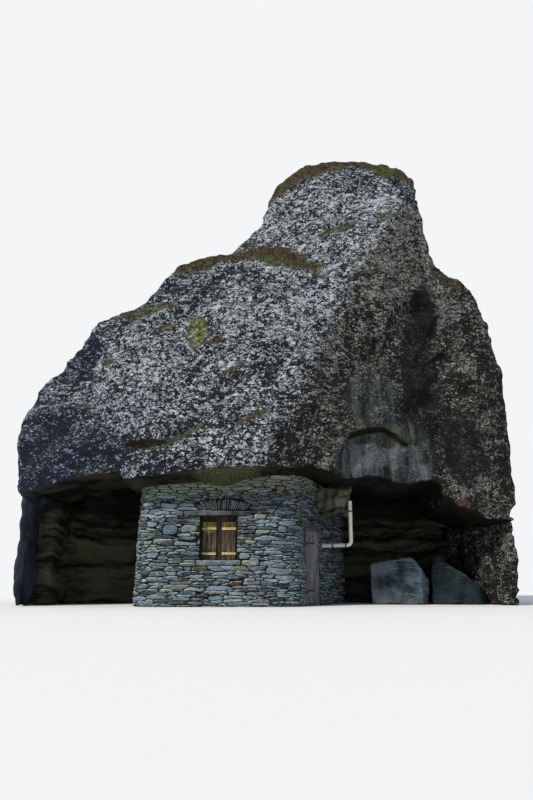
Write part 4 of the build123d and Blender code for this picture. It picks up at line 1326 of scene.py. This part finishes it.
rock("roof_boulder", rock_skin, voxel=0.064, easing=4,
     relief=[(0.9, 0.07), (0.3, 0.04)], seed=1,
     beds=(0.035, 0.42), ripple=0.016, still=keep_walls, pull=boulder_forms)
rock("left_foot_block", foot_skin, voxel=0.06, easing=4,
     relief=[(0.9, 0.08), (0.35, 0.05)], seed=5, folds=(0.05, 0.35), ripple=0.01)
ledges = ("back_ledge_left", "back_ledge_middle", "back_ledge_right", "right_foot_rock")
for index, name in enumerate(ledges):
    skin = rock_skin if name == "right_foot_rock" else ledge_skin
    rock(name, skin, voxel=0.07, easing=4,
         relief=[(1.0, 0.08), (0.4, 0.06)], seed=6 + index, beds=(0.09, 0.34), ripple=0.012)
rock("hanging_rock", hanging_skin, voxel=0.03, easing=5,
     relief=[(0.5, 0.09), (0.2, 0.04)], seed=17, folds=(0.12, 0.2), ripple=0.006)
for side, skin, seed in (("left", left_slab_skin, 21), ("right", right_slab_skin, 22)):
    rock("fallen_slab_" + side, skin, voxel=0.03, easing=3,
         relief=[(0.7, 0.06), (0.2, 0.015)], seed=seed, ripple=0.004)
rock("window_lintel", lintel_skin, voxel=0.012, easing=3,
     relief=[(0.3, 0.016), (0.08, 0.008)], seed=31, beds=(0.010, 0.03), pull=tapered)
rock("window_sill", sill_skin, voxel=0.014, easing=3,
     relief=[(0.3, 0.012), (0.08, 0.007)], seed=34, beds=(0.009, 0.035))
rock("door_lintel", lintel_skin, voxel=0.016, easing=3,
     relief=[(0.3, 0.010), (0.08, 0.005)], seed=32, beds=(0.005, 0.02))
rock("door_threshold", sill_skin, voxel=0.012, easing=2,
     relief=[(0.3, 0.004)], seed=33)

# Finishes of the CAD nodes that stay
finishes = [
    (hearting_shade_skin, [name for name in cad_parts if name.startswith("wall_")] + ["relieving_fan"]),
    (mortar_skin, ["flue_plug"]),
    (frame_wood, ["window_frame"]),
    (jamb_wood, ["door_frame"]),
    (iron_skin, ["door_straps", "door_pintles", "flue_hanger", "flue_rings"]),
    (enamel_skin, ["flue_level", "flue_riser"]),
]
for skin, names in finishes:
    for name in names:
        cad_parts[name].data.materials.clear()
        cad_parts[name].data.materials.append(skin)
for name in ("window_frame", "door_frame", "door_straps", "door_pintles"):
    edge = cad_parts[name].modifiers.new("worn_edges", "BEVEL")
    edge.width = 0.004 if "frame" in name else 0.0012
    edge.segments = 2
    edge.limit_method = "ANGLE"

# Stage, light and camera


def lay_floor():
    """Pale floor that runs out of view."""
    reach = 400.0
    mesh = bpy.data.meshes.new("floor")
    corners = [(-reach, -reach, 0), (reach, -reach, 0), (reach, reach, 0), (-reach, reach, 0)]
    mesh.from_pydata(corners, [], [(0, 1, 2, 3)])
    n = Nodes("pale_floor")
    n.color = (0.78, 0.77, 0.75)
    mesh.materials.append(n.finish(0.9, []))
    placed("floor", mesh)


def sun(name, energy, place, target, size, color):
    """Sun lamp aimed at a point."""
    data = bpy.data.lights.new(name, "SUN")
    data.energy = energy
    data.color = color
    data.angle = math.radians(size)
    obj = placed(name, data)
    obj.location = place
    obj.rotation_euler = (Vector(target) - Vector(place)).to_track_quat("-Z", "Y").to_euler()


def light_world():
    """Pale sky: white where it is seen, also in a reflection, and a soft bluish light elsewhere."""
    sky_light, sky_seen = (0.50, 0.55, 0.63, 1), (0.90, 0.91, 0.93, 1)
    world = bpy.data.worlds.new("pale_sky")
    bpy.context.scene.world = world
    world.use_nodes = True
    tree = world.node_tree
    background = tree.nodes["Background"]
    path = tree.nodes.new("ShaderNodeLightPath")
    seen = path.outputs["Is Camera Ray"]
    for ray in ("Is Glossy Ray", "Is Transmission Ray"):
        either = tree.nodes.new("ShaderNodeMath")
        either.operation = "MAXIMUM"
        tree.links.new(seen, either.inputs[0])
        tree.links.new(path.outputs[ray], either.inputs[1])
        seen = either.outputs["Value"]
    mix = tree.nodes.new("ShaderNodeMix")
    mix.data_type = "RGBA"
    tree.links.new(seen, mix.inputs[0])
    mix.inputs[6].default_value = sky_light
    mix.inputs[7].default_value = sky_seen
    tree.links.new(mix.outputs[2], background.inputs["Color"])
    background.inputs["Strength"].default_value = 1.0


lay_floor()
light_world()
sun("sun", energy=3.6, place=(-14, -12, 17), target=(0, 0, 4), size=5, color=(1.0, 0.96, 0.90))

# Camera of the photograph, which looks up at the boulder
photo_place = (0.98, -14.75, 0.45)
photo_pitch = 14.7
photo_lens = 31.5
camera_data = bpy.data.cameras.new("camera")
camera_data.lens = photo_lens
camera_data.sensor_width = 36
camera = placed("camera", camera_data)
camera.location = photo_place
camera.rotation_euler = (math.radians(90 + photo_pitch), 0, 0)
bpy.context.scene.camera = camera
bpy.context.scene.view_settings.view_transform = "Standard"
